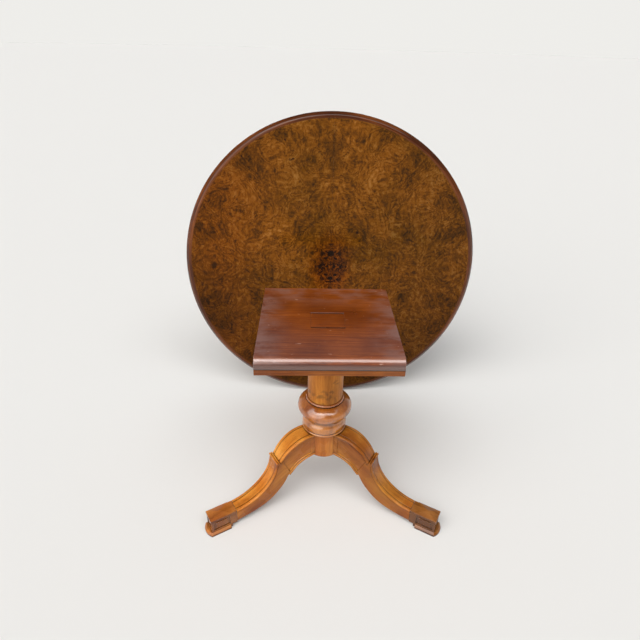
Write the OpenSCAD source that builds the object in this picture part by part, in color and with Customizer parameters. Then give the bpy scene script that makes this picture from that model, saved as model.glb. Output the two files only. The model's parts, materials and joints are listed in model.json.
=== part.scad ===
// Centre table on a tripod, with its round top lifted off and stood behind the base.
// Millimetres, +Z up. The top leans back on its edge, with its polished face to the front.

/* [Block] */
// Height of the block's upper face above the floor
block_top_h = 700; // [640:1:760]
// Width of the block, which fits between the bearers
block_w = 418; // [340:1:500]
// Depth of the block, from its rounded front to its back
block_d = 434; // [360:1:500]
// Thickness of the upper board
block_upper_t = 32; // [28:1:40]
// Thickness of the lower board
block_lower_t = 19; // [14:1:30]
// Radius of the rounded front edge, round which the top tilts
nose_r = 31; // [20:1:31]
// Depth of the pivot below the upper face, and behind the front
pivot_in = 24; // [22:0.5:26]
// Depth of each pivot hole in the block's side
pivot_hole_d = 40; // [36:1:60]

/* [Column] */
// Radius of the plain column
column_r = 59; // [50:0.5:64]
// Width of the tenon that goes up through the block
tenon_w = 104; // [80:1:110]
// Depth of the tenon, front to back, between its wedges
tenon_d = 84; // [64:1:88]
// Thickness of a wedge at its upper end
wedge_t = 5; // [3:0.5:7]
// Radius of the spigot that goes down through the rings into the hub
spigot_r = 34; // [26:1:36]

/* [Rings] */
// Greatest radius of the upper ring
knop_r = 92; // [84:0.5:104]
// Height of the small bead at the foot of the column
bead_h = 10; // [6:0.5:14]
// How far the small bead stands out from the column
bead_out = 5.5; // [3:0.5:7]
// Height of the upper ring above its widest line
knop_rise = 20; // [14:0.5:26]
// Height of the upper ring below its widest line
knop_fall = 43; // [30:0.5:50]
// Radius at the foot of the upper ring
waist_r = 72; // [69:0.5:74]
// Greatest radius of the lower ring
torus_r = 76; // [74.5:0.5:84]
// Height of the round moulding on the lower ring
torus_h = 38; // [24:1:46]
// Height of the lip under it, which covers the tops of the legs
lip_h = 17; // [10:1:22]

/* [Hub and legs] */
// Height of the hub's underside above the floor
hub_bottom_h = 178; // [160:1:200]
// Height of the hub
hub_h = 105; // [96:1:125]
// Radius of the hub
hub_r = 64; // [62:0.5:70]
// Radius of the rounding round the hub's lower edge
hub_round = 8; // [4:0.5:12]
// Drop from the hub's upper face to the top of a leg
leg_drop = 3; // [1:0.5:8]
// Height of a leg's underside above the hub's underside
leg_rise = 8; // [4:1:14]
// Radius from the axis to the knee, where the upper part of the leg ends
knee_r = 189; // [176:1:200]
// Height of the knee
knee_h = 209; // [200:1:222]
// Width of the ledge at the knee
ledge_w = 12; // [8:0.5:16]
// How far the ledge rises to its outer edge
ledge_rise = 0.5; // [0.5:0.5:4]
// Radius from the axis to the nick under the knee
nick_r = 151; // [144:1:158]
// Height of the nick
nick_h = 131; // [124:1:140]
// Width of a leg at the hub
leg_root_w = 70; // [62:1:78]
// Width of the upper part of a leg at the knee
leg_knee_w = 61; // [58:1:66]
// Width of the lower part of a leg at the knee
leg_shin_w = 55; // [50:1:57]
// Width of a leg at its foot
leg_ankle_w = 52; // [44:1:55]
// Width of the bead along the edges of a leg's side
leg_bead = 6; // [4:0.5:8]
// Depth of the first step of the side moulding
leg_step = 2; // [1:0.5:3]
// Depth of the dovetail tongue that holds a leg in the hub
dovetail_d = 22; // [14:1:26]
// Width of the tongue at the hub's surface
dovetail_w = 22; // [16:1:26]
// Extra width of the tongue at its inner end
dovetail_flare = 8; // [4:1:10]

/* [Feet] */
// Radius from the axis to the toe of the foot's cap
toe_r = 445; // [420:1:480]
// Length of the cap
foot_l = 76; // [70:1:86]
// Width of the cap
foot_w = 51; // [48:1:56]
// Height of the foot to the eaves of its cap
foot_h = 68; // [62:1:76]
// Rise of the pyramid on top of the cap
foot_peak = 9; // [6:0.5:14]
// Thickness of the cap's edge
cap_h = 7; // [5:0.5:9]
// How far the cap stands out over the block under it
cap_out = 1.5; // [1:0.5:2.5]
// Length of the collar behind the foot's block
collar_l = 15; // [10:1:18]
// Width of the plinth that the foot stands on
plinth_w = 62; // [58:1:68]
// Height of the plinth
plinth_h = 13; // [10:0.5:16]
// Height of the bevel round the plinth's upper edge
plinth_bevel = 6; // [4:0.5:8]
// How far the plinth bows out in front of the toe
plinth_bow = 12; // [8:1:16]
// Depth of the sunk panels in a foot
foot_panel_d = 4; // [2:0.5:5]
// Height of a leg's underside where it meets the foot
ankle_h = 16; // [14:1:22]

/* [Top] */
// Diameter of the round top over its moulded edge
top_dia = 1220; // [1140:1:1300]
// Thickness of the boards under the veneer
board_t = 20.5; // [18:0.5:26]
// Thickness of the burr veneer
veneer_t = 1.5; // [1:0.1:2]
// Width of the moulded edge
rim_w = 24; // [18:1:30]
// Thickness of the moulded edge
rim_t = 26; // [24:0.5:34]
// Length of the tongue that joins the moulded edge to the boards
rim_tongue = 8; // [5:0.5:10]

/* [Bearers] */
// Length of a bearer
bearer_l = 860; // [780:5:960]
// Width of a bearer
bearer_w = 42; // [34:1:50]
// Depth of a bearer below the boards
bearer_h = 48; // [44:1:60]
// Length of the slope at each end
bearer_slope = 100; // [60:5:120]
// Depth of a bearer at the end of its slope
bearer_tip = 16; // [12:1:20]
// Gap between a bearer and the block when the table is put together
bearer_gap = 1.5; // [1:0.5:3]

/* [Pivot bolts] */
// Radius of a pivot bolt's shank
bolt_r = 5; // [4:0.5:6]
// How far a pivot bolt reaches past the bearer, into the block
bolt_reach = 36; // [28:1:36]
// Radius of a pivot bolt's head
bolt_head_r = 12; // [9:0.5:15]
// Thickness of a pivot bolt's head
bolt_head_t = 7; // [5:0.5:9]
// Running clearance round every shaft that turns or slides
running_gap = 0.05; // [0.02:0.01:0.08]

/* [Catch] */
// Length of the brass catch case
catch_l = 60; // [54:1:70]
// Width of the catch case
catch_w = 26; // [24:1:32]
// Travel of the catch bolt
catch_travel = 11; // [9:0.5:12]
// Radius of the catch bolt
catch_bolt_r = 5; // [4:0.5:5.5]
// How far the catch bolt reaches into the block
catch_reach = 9; // [6:0.5:10]
// Depth of the catch bolt's axis below the underside of the top
catch_depth = 12; // [11:0.5:14]
// Radius of the spring wire
spring_wire_r = 0.6; // [0.4:0.1:0.7]
// Turns in the spring
spring_turns = 7; // [5:1:8]

/* [Where the top stands] */
// How far the top leans back from upright, in degrees
lean = 7.7; // [5:0.1:12]
// Distance from the column's axis back to the edge that stands on the floor
top_behind = 529; // [500:1:600]
// Distance of the top's middle to the right of the column's axis
top_aside = 34; // [-40:1:60]

/* [Hidden] */
$fn = 96;
profile_steps = 10;
board_count = 4;
rim_count = 8;

// Clearance where two pieces are glued or screwed, and how far a cut runs past what it cuts
glue_gap = 0.1;
over = 1;

// Colours
mahogany = "#6e3420";
mahogany_pale = "#8a4a22";
walnut = "#a8662b";
walnut_red = "#8f4f2a";
burr = "#7d4a1c";
edge_walnut = "#5e2d1b";
brass = "#b08d3c";
steel = "#6b6b6b";

// Heights, from the floor up
hub_top = hub_bottom_h + hub_h;
torus_z = hub_top + lip_h;
waist_z = torus_z + torus_h;
knop_z = waist_z + knop_fall;
bead_z = knop_z + knop_rise;
shaft_z = bead_z + bead_h;
block_joint_z = block_top_h - block_upper_t;
block_bottom_z = block_joint_z - block_lower_t;

// The block and what goes into it
block_front = -block_d / 2;
block_back = block_d / 2;
pivot_y = block_front + pivot_in;
pivot_z = block_top_h - pivot_in;
screw_in = 50;
block_screw_bite = 19;
block_screw_l = block_lower_t + block_screw_bite;
striker_w = 56;
striker_h = 18;
striker_t = 2;
striker_hole_r = catch_bolt_r + 0.5;
striker_hole_d = catch_reach + 5;
striker_screw_x = 20;
wedge_taper = 2;
wedge_sunk = 2;

// The rings: how many degrees each curve stops short, which leaves a fine step there
waist_step = 8;
torus_step = 16;
lip_step = 20;
torus_bulge = 15;

// Screws
screw_r = 2.5;
screw_head_r = 5;
screw_head_h = 3;
small_screw_r = 1.5;
small_head_r = 3.2;
small_head_h = 1.8;
small_screw_l = 15;

// Legs and feet, in a plane through the axis: x outwards, y up
leg_angles = [210, 330, 90];
leg_top = hub_top - leg_drop;
leg_under = hub_bottom_h + leg_rise;
ankle_r = toe_r - foot_l - collar_l;
ledge_r = knee_r + ledge_w;
ledge_h = knee_h + ledge_rise;
leg_inside = 22;
nick_l = 4;
nick_drop = 2;
nick_cut = 5;
tenon_foot_l = 18;
tenon_foot_w = 24;
tenon_foot_h = 28;
tenon_foot_rise = 12;
socket_drop = 14;
socket_top = hub_top - socket_drop;

// The block between a foot's cap and its plinth, and the sunk panels in it
heel = toe_r - foot_l;
foot_middle = toe_r - foot_l / 2;
die_w = foot_w - 2 * cap_out;
plinth_back = heel + 9;
plinth_corner = toe_r + 2;
bow_r = (pow(plinth_w / 2, 2) + pow(plinth_bow, 2)) / (2 * plinth_bow);
bow_x = plinth_corner + plinth_bow - bow_r;
panel_sill = 5;
panel_head = 3;
panel_side = 9;
panel_end = 8;
panel_border = 9;
panel_field_drop = 1;

// Each outline is a smooth run between two ends: [share of the reach, share of the drop left]
thigh_run = [[0, 1], [0.21, 0.995], [0.385, 0.945], [0.545, 0.82], [0.69, 0.655], [0.85, 0.39], [1, 0]];
shin_run = [[0, 1], [0.018, 0.86], [0.045, 0.73], [0.09, 0.62], [0.155, 0.5], [0.255, 0.37],
    [0.39, 0.245], [0.52, 0.155], [0.655, 0.085], [0.82, 0.03], [1, 0]];
thigh_under_run = [[0, 1], [0.33, 0.9], [0.64, 0.68], [0.83, 0.33], [1, 0]];
shin_under_run = [[0, 1], [0.1, 0.7], [0.27, 0.405], [0.44, 0.215], [0.62, 0.11], [0.8, 0.045], [1, 0]];

// The top, in its own frame: its polished face is z = 0, and the block's front is at -y
top_r = top_dia / 2;
field_r = top_r - rim_w;
under_z = -(veneer_t + board_t);
board_w = 2 * field_r / board_count;
rim_mid_z = -rim_t / 2;
rim_foot_w = rim_w / 2;
rim_step = 1;
tongue_h = 6;
bearer_x = block_w / 2 + bearer_gap;
bearer_end_screw = 60;
bearer_mid_screw = 120;
bearer_screw_y = [bearer_end_screw - bearer_l / 2, -bearer_mid_screw, bearer_mid_screw,
    bearer_l / 2 - bearer_end_screw];
bearer_screw_l = 30;
bearer_screw_seat = 16.5;
counterbore_r = screw_head_r + 2;
top_pivot_y = pivot_y;
top_pivot_z = under_z - pivot_in;
bolt_chamfer = 1.5;
bolt_slot_w = 2;
bolt_slot_d = 2.5;
head_gap = 0.3;

// The catch, in the top's frame
catch_gap = 6;
catch_y = block_back + catch_gap;
catch_z = under_z - catch_depth;
catch_plate_t = 2.5;
catch_flange = 11;
catch_plate_w = catch_w + 2 * catch_flange;
catch_plate_l = catch_l + catch_flange;
catch_screw_in = 6;
catch_wall = 6;
catch_floor = 3;
catch_roof = 4;
chamber_r = catch_depth - catch_roof;
shoulder_gap = 0.4;
shoulder_r = chamber_r - shoulder_gap;
shoulder_t = 4;
shoulder_in = 10;
shoulder_y = catch_y + catch_wall + shoulder_in;
stem_r = 3;
stem_l = 10;
knob_r = 7;
slot_gap = 0.6;
nose_l = 4;
nose_in = 2;
tail_out = 3;
catch_bottom_z = catch_z - chamber_r - catch_floor;

// Where the top stands, and the middle of the whole box that the table fills
tilt = 90 - lean;
rim_low = (top_r - rim_foot_w) * sin(tilt) - rim_mid_z * cos(tilt)
    + sqrt(pow(rim_foot_w * sin(tilt), 2) + pow(rim_t / 2 * cos(tilt), 2));
top_front_y = top_behind + rim_low * cos(tilt) / sin(tilt);
bearer_back = top_front_y + (bearer_l / 2 - bearer_slope) * cos(tilt)
    + (bearer_h - under_z) * sin(tilt);
rim_back = top_front_y + (top_r - rim_foot_w) * cos(tilt) - rim_mid_z * sin(tilt)
    + sqrt(pow(rim_foot_w * cos(tilt), 2) + pow(rim_t / 2 * sin(tilt), 2));
foot_front = -(plinth_corner * cos(60) + plinth_w / 2 * sin(60));
row_front = min(foot_front, block_front);
row_back = max(bearer_back, rim_back);
row_middle = [top_aside, (row_front + row_back) / 2, 0];

// Curves

// A point on a smooth curve through the points p, between p[i] and p[i + 1]
function curve_point(p, i, u) =
    let (a = p[max(i - 1, 0)], b = p[i], c = p[i + 1], d = p[min(i + 2, len(p) - 1)])
    0.5 * (2 * b + (c - a) * u + (2 * a - 5 * b + 4 * c - d) * u * u + (3 * b - a - 3 * c + d) * u * u * u);

// A smooth curve through the points p, with n steps between each two
function curve(p, n) = concat(
    [for (i = [0:len(p) - 2], k = [0:n - 1]) curve_point(p, i, k / n)],
    [p[len(p) - 1]]);

// A run of shares laid between a start and an end
function lay_run(run, start, end) = [for (s = run)
    [start.x + (end.x - start.x) * s.x, end.y + (start.y - end.y) * s.y]];

// The points p moved sideways by d, to the left of their direction
function beside(p, d) = [for (i = [0:len(p) - 1])
    let (a = p[max(i - 1, 0)], b = p[min(i + 1, len(p) - 1)], v = (b - a) / norm(b - a))
    p[i] + d * [-v.y, v.x]];

// Part of an ellipse from angle a to angle b
function arc(centre, rx, ry, a, b) = [for (k = [0:profile_steps])
    let (t = a + (b - a) * k / profile_steps)
    centre + [rx * cos(t), ry * sin(t)]];

function reversed(p) = [for (i = [len(p) - 1:-1:0]) p[i]];

// Only the points between two distances from the axis
function between(p, low, high) = [for (q = p) if (q.x > low && q.x < high) q];

// Placing

// Everything is drawn about the column's axis, and stands with its middle at the origin
module row() {
    translate(-row_middle) children();
}

// The top's own frame, leaning back on the floor behind the base
module stand_top() {
    translate([top_aside, top_front_y, rim_low]) rotate([tilt, 0, 0]) children();
}

// A leg's plane: x outwards from the axis, z up
module along_leg(i) {
    rotate([0, 0, leg_angles[i]]) children();
}

// A profile in x and z, as thick as w and centred on its plane
module upright(w) {
    rotate([90, 0, 0]) linear_extrude(w, center = true) children();
}

// A screw with its countersunk head at the origin, pointing along +z
module screw(r, head_r, head_h, l) {
    rotate_extrude() polygon([[0, 0], [head_r, 0], [r, head_h], [r, l - 2 * r], [0, l]]);
}

// The hole for that screw, open past its head
module screw_hole(r, head_r, head_h, l) {
    rotate_extrude() polygon([[0, -over], [head_r + glue_gap, -over], [head_r + glue_gap, 0],
        [r + glue_gap, head_h], [r + glue_gap, l - 2 * r], [0, l + glue_gap]]);
}

// The block

module at_block_screws() {
    for (x = [-1, 1], y = [-1, 1])
        translate([x * (block_w / 2 - screw_in), y * (block_d / 2 - screw_in), block_bottom_z])
            children();
}

module at_striker_screws() {
    for (x = [-1, 1])
        translate([x * striker_screw_x, block_back, block_top_h - catch_depth])
            rotate([90, 0, 0]) children();
}

module mortise() {
    linear_extrude(3 * block_top_h, center = true)
        square([tenon_w + 2 * glue_gap, tenon_d + 2 * wedge_t], center = true);
}

module block_upper_board() {
    color(mahogany) difference() {
        rotate([90, 0, 90]) linear_extrude(block_w, center = true) polygon(concat(
            [[block_back, block_joint_z], [block_back, block_top_h]],
            arc([block_front + nose_r, block_top_h - nose_r], nose_r, nose_r, 90, 180),
            [[block_front, block_joint_z]]));
        mortise();
        for (side = [-1, 1])
            translate([side * (block_w / 2 - pivot_hole_d), pivot_y, pivot_z])
                rotate([0, side * 90, 0]) cylinder(r = bolt_r + running_gap, h = pivot_hole_d + over);
        translate([0, block_back + over, block_top_h - catch_depth])
            rotate([90, 0, 0]) cylinder(r = striker_hole_r, h = striker_hole_d + over);
        translate([-striker_w / 2, block_back - striker_t, block_top_h - catch_depth - striker_h / 2])
            cube([striker_w, striker_t + over, striker_h]);
        at_striker_screws() screw_hole(small_screw_r, small_head_r, small_head_h, small_screw_l);
        at_block_screws() screw_hole(screw_r, screw_head_r, screw_head_h, block_screw_l);
    }
}

module block_lower_board() {
    color(mahogany_pale) difference() {
        translate([-block_w / 2, block_front, block_bottom_z]) cube([block_w, block_d, block_lower_t]);
        mortise();
        at_block_screws() screw_hole(screw_r, screw_head_r, screw_head_h, block_screw_l);
    }
}

module block_screws() {
    color(steel) at_block_screws() screw(screw_r, screw_head_r, screw_head_h, block_screw_l);
}

module striker_plate() {
    color(brass) difference() {
        translate([-striker_w / 2, block_back - striker_t, block_top_h - catch_depth - striker_h / 2])
            cube([striker_w, striker_t, striker_h]);
        translate([0, block_back + over, block_top_h - catch_depth])
            rotate([90, 0, 0]) cylinder(r = striker_hole_r, h = striker_t + 2 * over);
        at_striker_screws() screw_hole(small_screw_r, small_head_r, small_head_h, small_screw_l);
    }
}

module striker_screws() {
    color(brass) at_striker_screws() screw(small_screw_r, small_head_r, small_head_h, small_screw_l);
}

// The column, its wedges and its rings

module column() {
    color(walnut) union() {
        translate([0, 0, shaft_z]) cylinder(r = column_r, h = block_bottom_z - shaft_z);
        translate([0, 0, hub_bottom_h + 2 * glue_gap + leg_rise])
            cylinder(r = spigot_r, h = shaft_z - hub_bottom_h - leg_rise);
        translate([-tenon_w / 2, -tenon_d / 2, block_bottom_z - over])
            cube([tenon_w, tenon_d, block_top_h - block_bottom_z + over]);
    }
}

// Each wedge fills the mortise beside the tenon, is thinner at its lower end, and stops just under the face
module tenon_wedges() {
    wedge_top = block_top_h - wedge_sunk;
    color(mahogany) for (side = [0, 180])
        rotate([0, 0, side]) translate([0, tenon_d / 2, 0])
            rotate([90, 0, 90]) linear_extrude(tenon_w, center = true)
                polygon([[0, block_bottom_z], [wedge_t - wedge_taper, block_bottom_z],
                    [wedge_t, wedge_top], [0, wedge_top]]);
}

module upper_ring() {
    neck = [column_r, bead_z + bead_h / 2];
    color(walnut_red) rotate_extrude() polygon(concat(
        [[spigot_r + glue_gap, waist_z], [waist_r, waist_z]],
        arc([waist_r, knop_z], knop_r - waist_r, knop_fall, waist_step - 90, 0),
        arc([column_r + bead_out, knop_z], knop_r - column_r - bead_out, knop_rise, 0, 90),
        arc(neck, bead_out, bead_h / 2, -90, 90),
        [[spigot_r + glue_gap, shaft_z]]));
}

module lower_ring() {
    torus_in = torus_r - torus_bulge;
    lip_in = torus_r - lip_h / 2;
    color(walnut_red) rotate_extrude() polygon(concat(
        [[spigot_r + glue_gap, hub_top], [lip_in, hub_top]],
        arc([lip_in, hub_top + lip_h / 2], lip_h / 2, lip_h / 2, -90, 90 - lip_step),
        arc([torus_in, torus_z + torus_h / 2], torus_bulge, torus_h / 2, torus_step - 90, 90),
        [[spigot_r + glue_gap, waist_z]]));
}

// The hub has a blind bore for the column's spigot and a dovetail socket for each leg
module dovetail(gap) {
    inner = hub_r - dovetail_d - gap;
    polygon([[hub_r + over, -dovetail_w / 2 - gap], [hub_r + over, dovetail_w / 2 + gap],
        [hub_r, dovetail_w / 2 + gap], [inner, (dovetail_w + dovetail_flare) / 2 + gap],
        [inner, -(dovetail_w + dovetail_flare) / 2 - gap], [hub_r, -dovetail_w / 2 - gap]]);
}

module hub() {
    color(walnut) difference() {
        rotate_extrude() polygon(concat(
            [[0, hub_bottom_h]],
            arc([hub_r - hub_round, hub_bottom_h + hub_round], hub_round, hub_round, -90, 0),
            [[hub_r, hub_top], [0, hub_top]]));
        translate([0, 0, hub_bottom_h + leg_rise]) cylinder(r = spigot_r + glue_gap, h = hub_h);
        for (i = [0:len(leg_angles) - 1]) along_leg(i)
            translate([0, 0, hub_bottom_h - over]) linear_extrude(socket_top - hub_bottom_h + over)
                dovetail(glue_gap);
    }
}

// The legs

thigh_top = curve(lay_run(thigh_run, [hub_r, leg_top], [knee_r, knee_h]), 4);
shin_top = curve(lay_run(shin_run, [ledge_r, ledge_h], [ankle_r, foot_h]), 3);
thigh_under = curve(lay_run(thigh_under_run, [hub_r, leg_under], [nick_r, nick_h]), 4);
shin_under = curve(lay_run(shin_under_run, [nick_r + nick_l, nick_h - nick_drop], [ankle_r, ankle_h]), 4);
nick = [nick_r + nick_l / 4, nick_h + nick_cut];

// The upper part of the leg, from the hub to the knee, with d taken off along its edges
module thigh_side(d) {
    root = d == 0 ? hub_r - leg_inside : hub_r + 2 * d;
    polygon(concat(
        [[root, leg_top - d]],
        between(beside(thigh_top, -d), root, knee_r - d),
        d == 0 ? [[knee_r, knee_h], nick] : [],
        reversed(between(beside(thigh_under, d), root, nick_r + 2 * d)),
        [[root, leg_under + d]]));
}

// The lower part of the leg, from the knee to the ankle
module shin_side(d) {
    tip = d == 0 ? ankle_r : ankle_r - 2 * d;
    polygon(concat(
        d == 0 ? [nick, [knee_r, knee_h]] : [],
        between(beside(shin_top, -d), 0, tip),
        [[tip, foot_h - d], [tip, ankle_h + d]],
        reversed(between(beside(shin_under, d), d == 0 ? 0 : nick_r + 4 * d, tip))));
}

// The plan of a leg from above, d narrower on each side
module leg_plan(from_r, from_w, to_r, to_w, d) {
    linear_extrude(block_top_h) polygon([
        [0, -from_w / 2 + d], [from_r, -from_w / 2 + d], [to_r, -to_w / 2 + d],
        [toe_r, -to_w / 2 + d], [toe_r, to_w / 2 - d], [to_r, to_w / 2 - d],
        [from_r, from_w / 2 - d], [0, from_w / 2 - d]]);
}

module thigh_plan(d) {
    leg_plan((hub_r + knee_r) / 2, leg_root_w, knee_r, leg_knee_w, d);
}

module shin_plan(d) {
    leg_plan(knee_r, leg_shin_w, ankle_r, leg_ankle_w, d);
}

// The sides have a bead along their edges, and step in twice inside it
module thigh() {
    difference() {
        intersection() {
            upright(leg_root_w + over) thigh_side(0);
            thigh_plan(0);
        }
        for (step = [1, 2]) difference() {
            upright(leg_root_w + over) thigh_side(step * leg_bead);
            thigh_plan(step * leg_step);
        }
    }
}

module shin() {
    difference() {
        intersection() {
            upright(leg_shin_w + over) shin_side(0);
            shin_plan(0);
        }
        for (step = [1, 2]) difference() {
            upright(leg_shin_w + over) shin_side(step * leg_bead);
            shin_plan(step * leg_step);
        }
    }
}

// The tenon that goes into the foot
module foot_tenon(gap) {
    translate([ankle_r - over, -tenon_foot_w / 2 - gap, ankle_h + tenon_foot_rise - gap])
        cube([tenon_foot_l + over + gap, tenon_foot_w + 2 * gap, tenon_foot_h + 2 * gap]);
}

module leg(i) {
    color(walnut) along_leg(i) union() {
        difference() {
            union() {
                thigh();
                shin();
            }
            cylinder(r = hub_r + glue_gap, h = block_top_h);
        }
        translate([0, 0, leg_under]) linear_extrude(socket_top - leg_under - glue_gap) dovetail(0);
        foot_tenon(0);
    }
}

// The feet

// The cap is the space under two gables that cross, which makes the pyramid
module foot_cap() {
    eaves = foot_h - cap_h;
    intersection() {
        upright(foot_w) polygon([[heel, eaves], [toe_r, eaves], [toe_r, foot_h],
            [foot_middle, foot_h + foot_peak], [heel, foot_h]]);
        translate([heel, 0, 0]) rotate([90, 0, 90]) linear_extrude(foot_l) polygon([
            [-foot_w / 2, eaves], [foot_w / 2, eaves], [foot_w / 2, foot_h],
            [0, foot_h + foot_peak], [-foot_w / 2, foot_h]]);
    }
}

// The block under the cap, and the narrow collar that meets the leg
module foot_die() {
    translate([heel + cap_out, -die_w / 2, 0]) cube([foot_l - 2 * cap_out, die_w, foot_h - over]);
    translate([ankle_r, -die_w / 2, plinth_h]) cube([collar_l + 2 * cap_out, die_w, foot_h - plinth_h]);
}

// The plinth is square at the heel and bowed at the toe, with a bevel that runs up to the block
module foot_plinth() {
    step = plinth_h - plinth_bevel;
    intersection() {
        translate([plinth_back, 0, 0]) rotate([90, 0, 90]) linear_extrude(foot_l + plinth_bow) polygon([
            [-plinth_w / 2, 0], [plinth_w / 2, 0], [plinth_w / 2, step], [die_w / 2, plinth_h],
            [-die_w / 2, plinth_h], [-plinth_w / 2, step]]);
        union() {
            translate([plinth_back, -plinth_w / 2, 0]) cube([bow_x - plinth_back, plinth_w, plinth_h]);
            translate([bow_x, 0, 0]) cylinder(r = bow_r, h = step);
            translate([bow_x, 0, step]) cylinder(r1 = bow_r, r2 = bow_r - plinth_bevel, h = plinth_bevel);
        }
    }
}

// A sunk panel with a raised field in it, as a cutter with its face at z = 0
module sunk_panel(w, h) {
    translate([0, 0, -foot_panel_d]) linear_extrude(foot_panel_d + over) difference() {
        square([w, h], center = true);
        square([w - 2 * panel_border, h - 2 * panel_border], center = true);
    }
    translate([0, 0, -panel_field_drop]) linear_extrude(panel_field_drop + over)
        square([w, h], center = true);
}

module foot(i) {
    sill = plinth_h + panel_sill;
    panel_h = foot_h - cap_h - panel_head - sill;
    panel_z = sill + panel_h / 2;
    color(walnut_red) along_leg(i) difference() {
        union() {
            foot_cap();
            foot_die();
            foot_plinth();
        }
        for (side = [-1, 1])
            translate([foot_middle, side * die_w / 2, panel_z])
                rotate([-side * 90, 0, 0]) sunk_panel(foot_l - 2 * panel_side, panel_h);
        translate([toe_r - cap_out, 0, panel_z])
            rotate([0, 90, 0]) sunk_panel(panel_h, foot_w - 2 * panel_end);
        foot_tenon(glue_gap);
    }
}

// The top

module at_bearer_screws() {
    for (side = [-1, 1], y = bearer_screw_y)
        translate([side * (bearer_x + bearer_w / 2), y, under_z - bearer_screw_seat]) children();
}

// The groove round the boards, or the tongue on the moulded edge
function tongue_points(gap) = [
    [field_r - rim_tongue - gap, under_z / 2 - tongue_h / 2 - gap],
    [field_r - rim_tongue - gap, under_z / 2 + tongue_h / 2 + gap]];

module top_board(i) {
    color(mahogany_pale) stand_top() difference() {
        translate([0, 0, under_z]) linear_extrude(board_t) intersection() {
            circle(r = field_r, $fn = 240);
            translate([-top_r, -field_r + i * board_w]) square([top_dia, board_w]);
        }
        rotate_extrude() polygon(concat(tongue_points(glue_gap), [
            [top_r, under_z / 2 + tongue_h / 2 + glue_gap], [top_r, under_z / 2 - tongue_h / 2 - glue_gap]]));
        at_bearer_screws() screw_hole(screw_r, screw_head_r, screw_head_h, bearer_screw_l);
        at_catch_screws() screw_hole(small_screw_r, small_head_r, small_head_h, small_screw_l);
    }
}

module veneer(i) {
    color(burr) stand_top() translate([0, 0, -veneer_t]) linear_extrude(veneer_t) intersection() {
        circle(r = field_r, $fn = 240);
        rotate([0, 0, i * 90]) square(top_r);
    }
}

// The moulded edge is a thumb moulding above its widest line, and rounds in below it
module rim(i) {
    angle = 360 / rim_count;
    color(edge_walnut) stand_top() rotate([0, 0, i * angle]) rotate_extrude(angle = angle, $fn = 240)
        polygon(concat(
            [[field_r, -rim_t]],
            arc([top_r - rim_foot_w, rim_mid_z], rim_foot_w, rim_t / 2, -90, 0),
            arc([field_r + rim_step, rim_mid_z], rim_w - rim_step, rim_t / 2, 0, 90),
            [[field_r, 0], [field_r, under_z / 2 + tongue_h / 2]],
            reversed(tongue_points(0)),
            [[field_r, under_z / 2 - tongue_h / 2]]));
}

module bearer(side) {
    half = bearer_l / 2;
    color(mahogany_pale) stand_top() difference() {
        translate([side * (bearer_x + bearer_w / 2), 0, 0])
            rotate([90, 0, 90]) linear_extrude(bearer_w, center = true) polygon([
                [-half, under_z], [half, under_z], [half, under_z - bearer_tip],
                [half - bearer_slope, under_z - bearer_h], [bearer_slope - half, under_z - bearer_h],
                [-half, under_z - bearer_tip]]);
        translate([0, top_pivot_y, top_pivot_z]) rotate([0, side * 90, 0])
            cylinder(r = bolt_r + running_gap, h = bearer_x + bearer_w + over);
        at_bearer_screws() {
            screw_hole(screw_r, screw_head_r, screw_head_h, bearer_screw_l);
            translate([0, 0, -bearer_h]) cylinder(r = counterbore_r, h = bearer_h);
        }
    }
}

module bearer_screws() {
    color(steel) stand_top() at_bearer_screws()
        screw(screw_r, screw_head_r, screw_head_h, bearer_screw_l);
}

// Both bolts turn in the bearers, and the block hangs on their inner ends
module pivot_bolts() {
    inner = bearer_x - bolt_reach;
    outer = bearer_x + bearer_w + head_gap;
    color(brass) stand_top() translate([0, top_pivot_y, top_pivot_z]) for (side = [-1, 1])
        rotate([0, side * 90, 0]) difference() {
            rotate_extrude() polygon(concat(
                [[0, inner], [bolt_r - bolt_chamfer, inner], [bolt_r, inner + bolt_chamfer],
                    [bolt_r, outer], [bolt_head_r, outer]],
                arc([bolt_head_r - bolt_head_t / 2, outer + bolt_head_t / 2], bolt_head_t / 2,
                    bolt_head_t / 2, 0, 90),
                [[0, outer + bolt_head_t]]));
            translate([0, 0, outer + bolt_head_t])
                cube([bolt_slot_w, 3 * bolt_head_r, 2 * bolt_slot_d], center = true);
        }
}

// The catch

module at_catch_screws() {
    for (x = [-1, 1], y = [0, 1])
        translate([x * (catch_plate_w / 2 - catch_screw_in),
            catch_y + catch_screw_in + y * (catch_plate_l - 2 * catch_screw_in), under_z - catch_plate_t])
            children();
}

// A cylinder along the catch bolt's axis, from one distance to another
module along_catch(r, from_y, to_y) {
    translate([0, to_y, catch_z]) rotate([90, 0, 0]) cylinder(r = r, h = to_y - from_y);
}

module catch_case() {
    chamber_front = catch_y + catch_wall;
    chamber_back = catch_y + catch_l - catch_wall;
    color(brass) stand_top() difference() {
        union() {
            translate([-catch_plate_w / 2, catch_y, under_z - catch_plate_t])
                cube([catch_plate_w, catch_plate_l, catch_plate_t]);
            translate([-catch_w / 2, catch_y, catch_bottom_z])
                cube([catch_w, catch_l, under_z - catch_bottom_z]);
        }
        along_catch(catch_bolt_r + running_gap, catch_y - over, catch_y + catch_l + over);
        along_catch(chamber_r, chamber_front, chamber_back);
        translate([-stem_r - slot_gap, shoulder_y + shoulder_t / 2 - stem_r - slot_gap,
            catch_bottom_z - over])
            cube([2 * (stem_r + slot_gap), 2 * (stem_r + slot_gap) + catch_travel, catch_depth]);
        at_catch_screws() screw_hole(small_screw_r, small_head_r, small_head_h, small_screw_l);
    }
}

module catch_screws() {
    color(brass) stand_top() at_catch_screws()
        screw(small_screw_r, small_head_r, small_head_h, small_screw_l);
}

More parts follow.
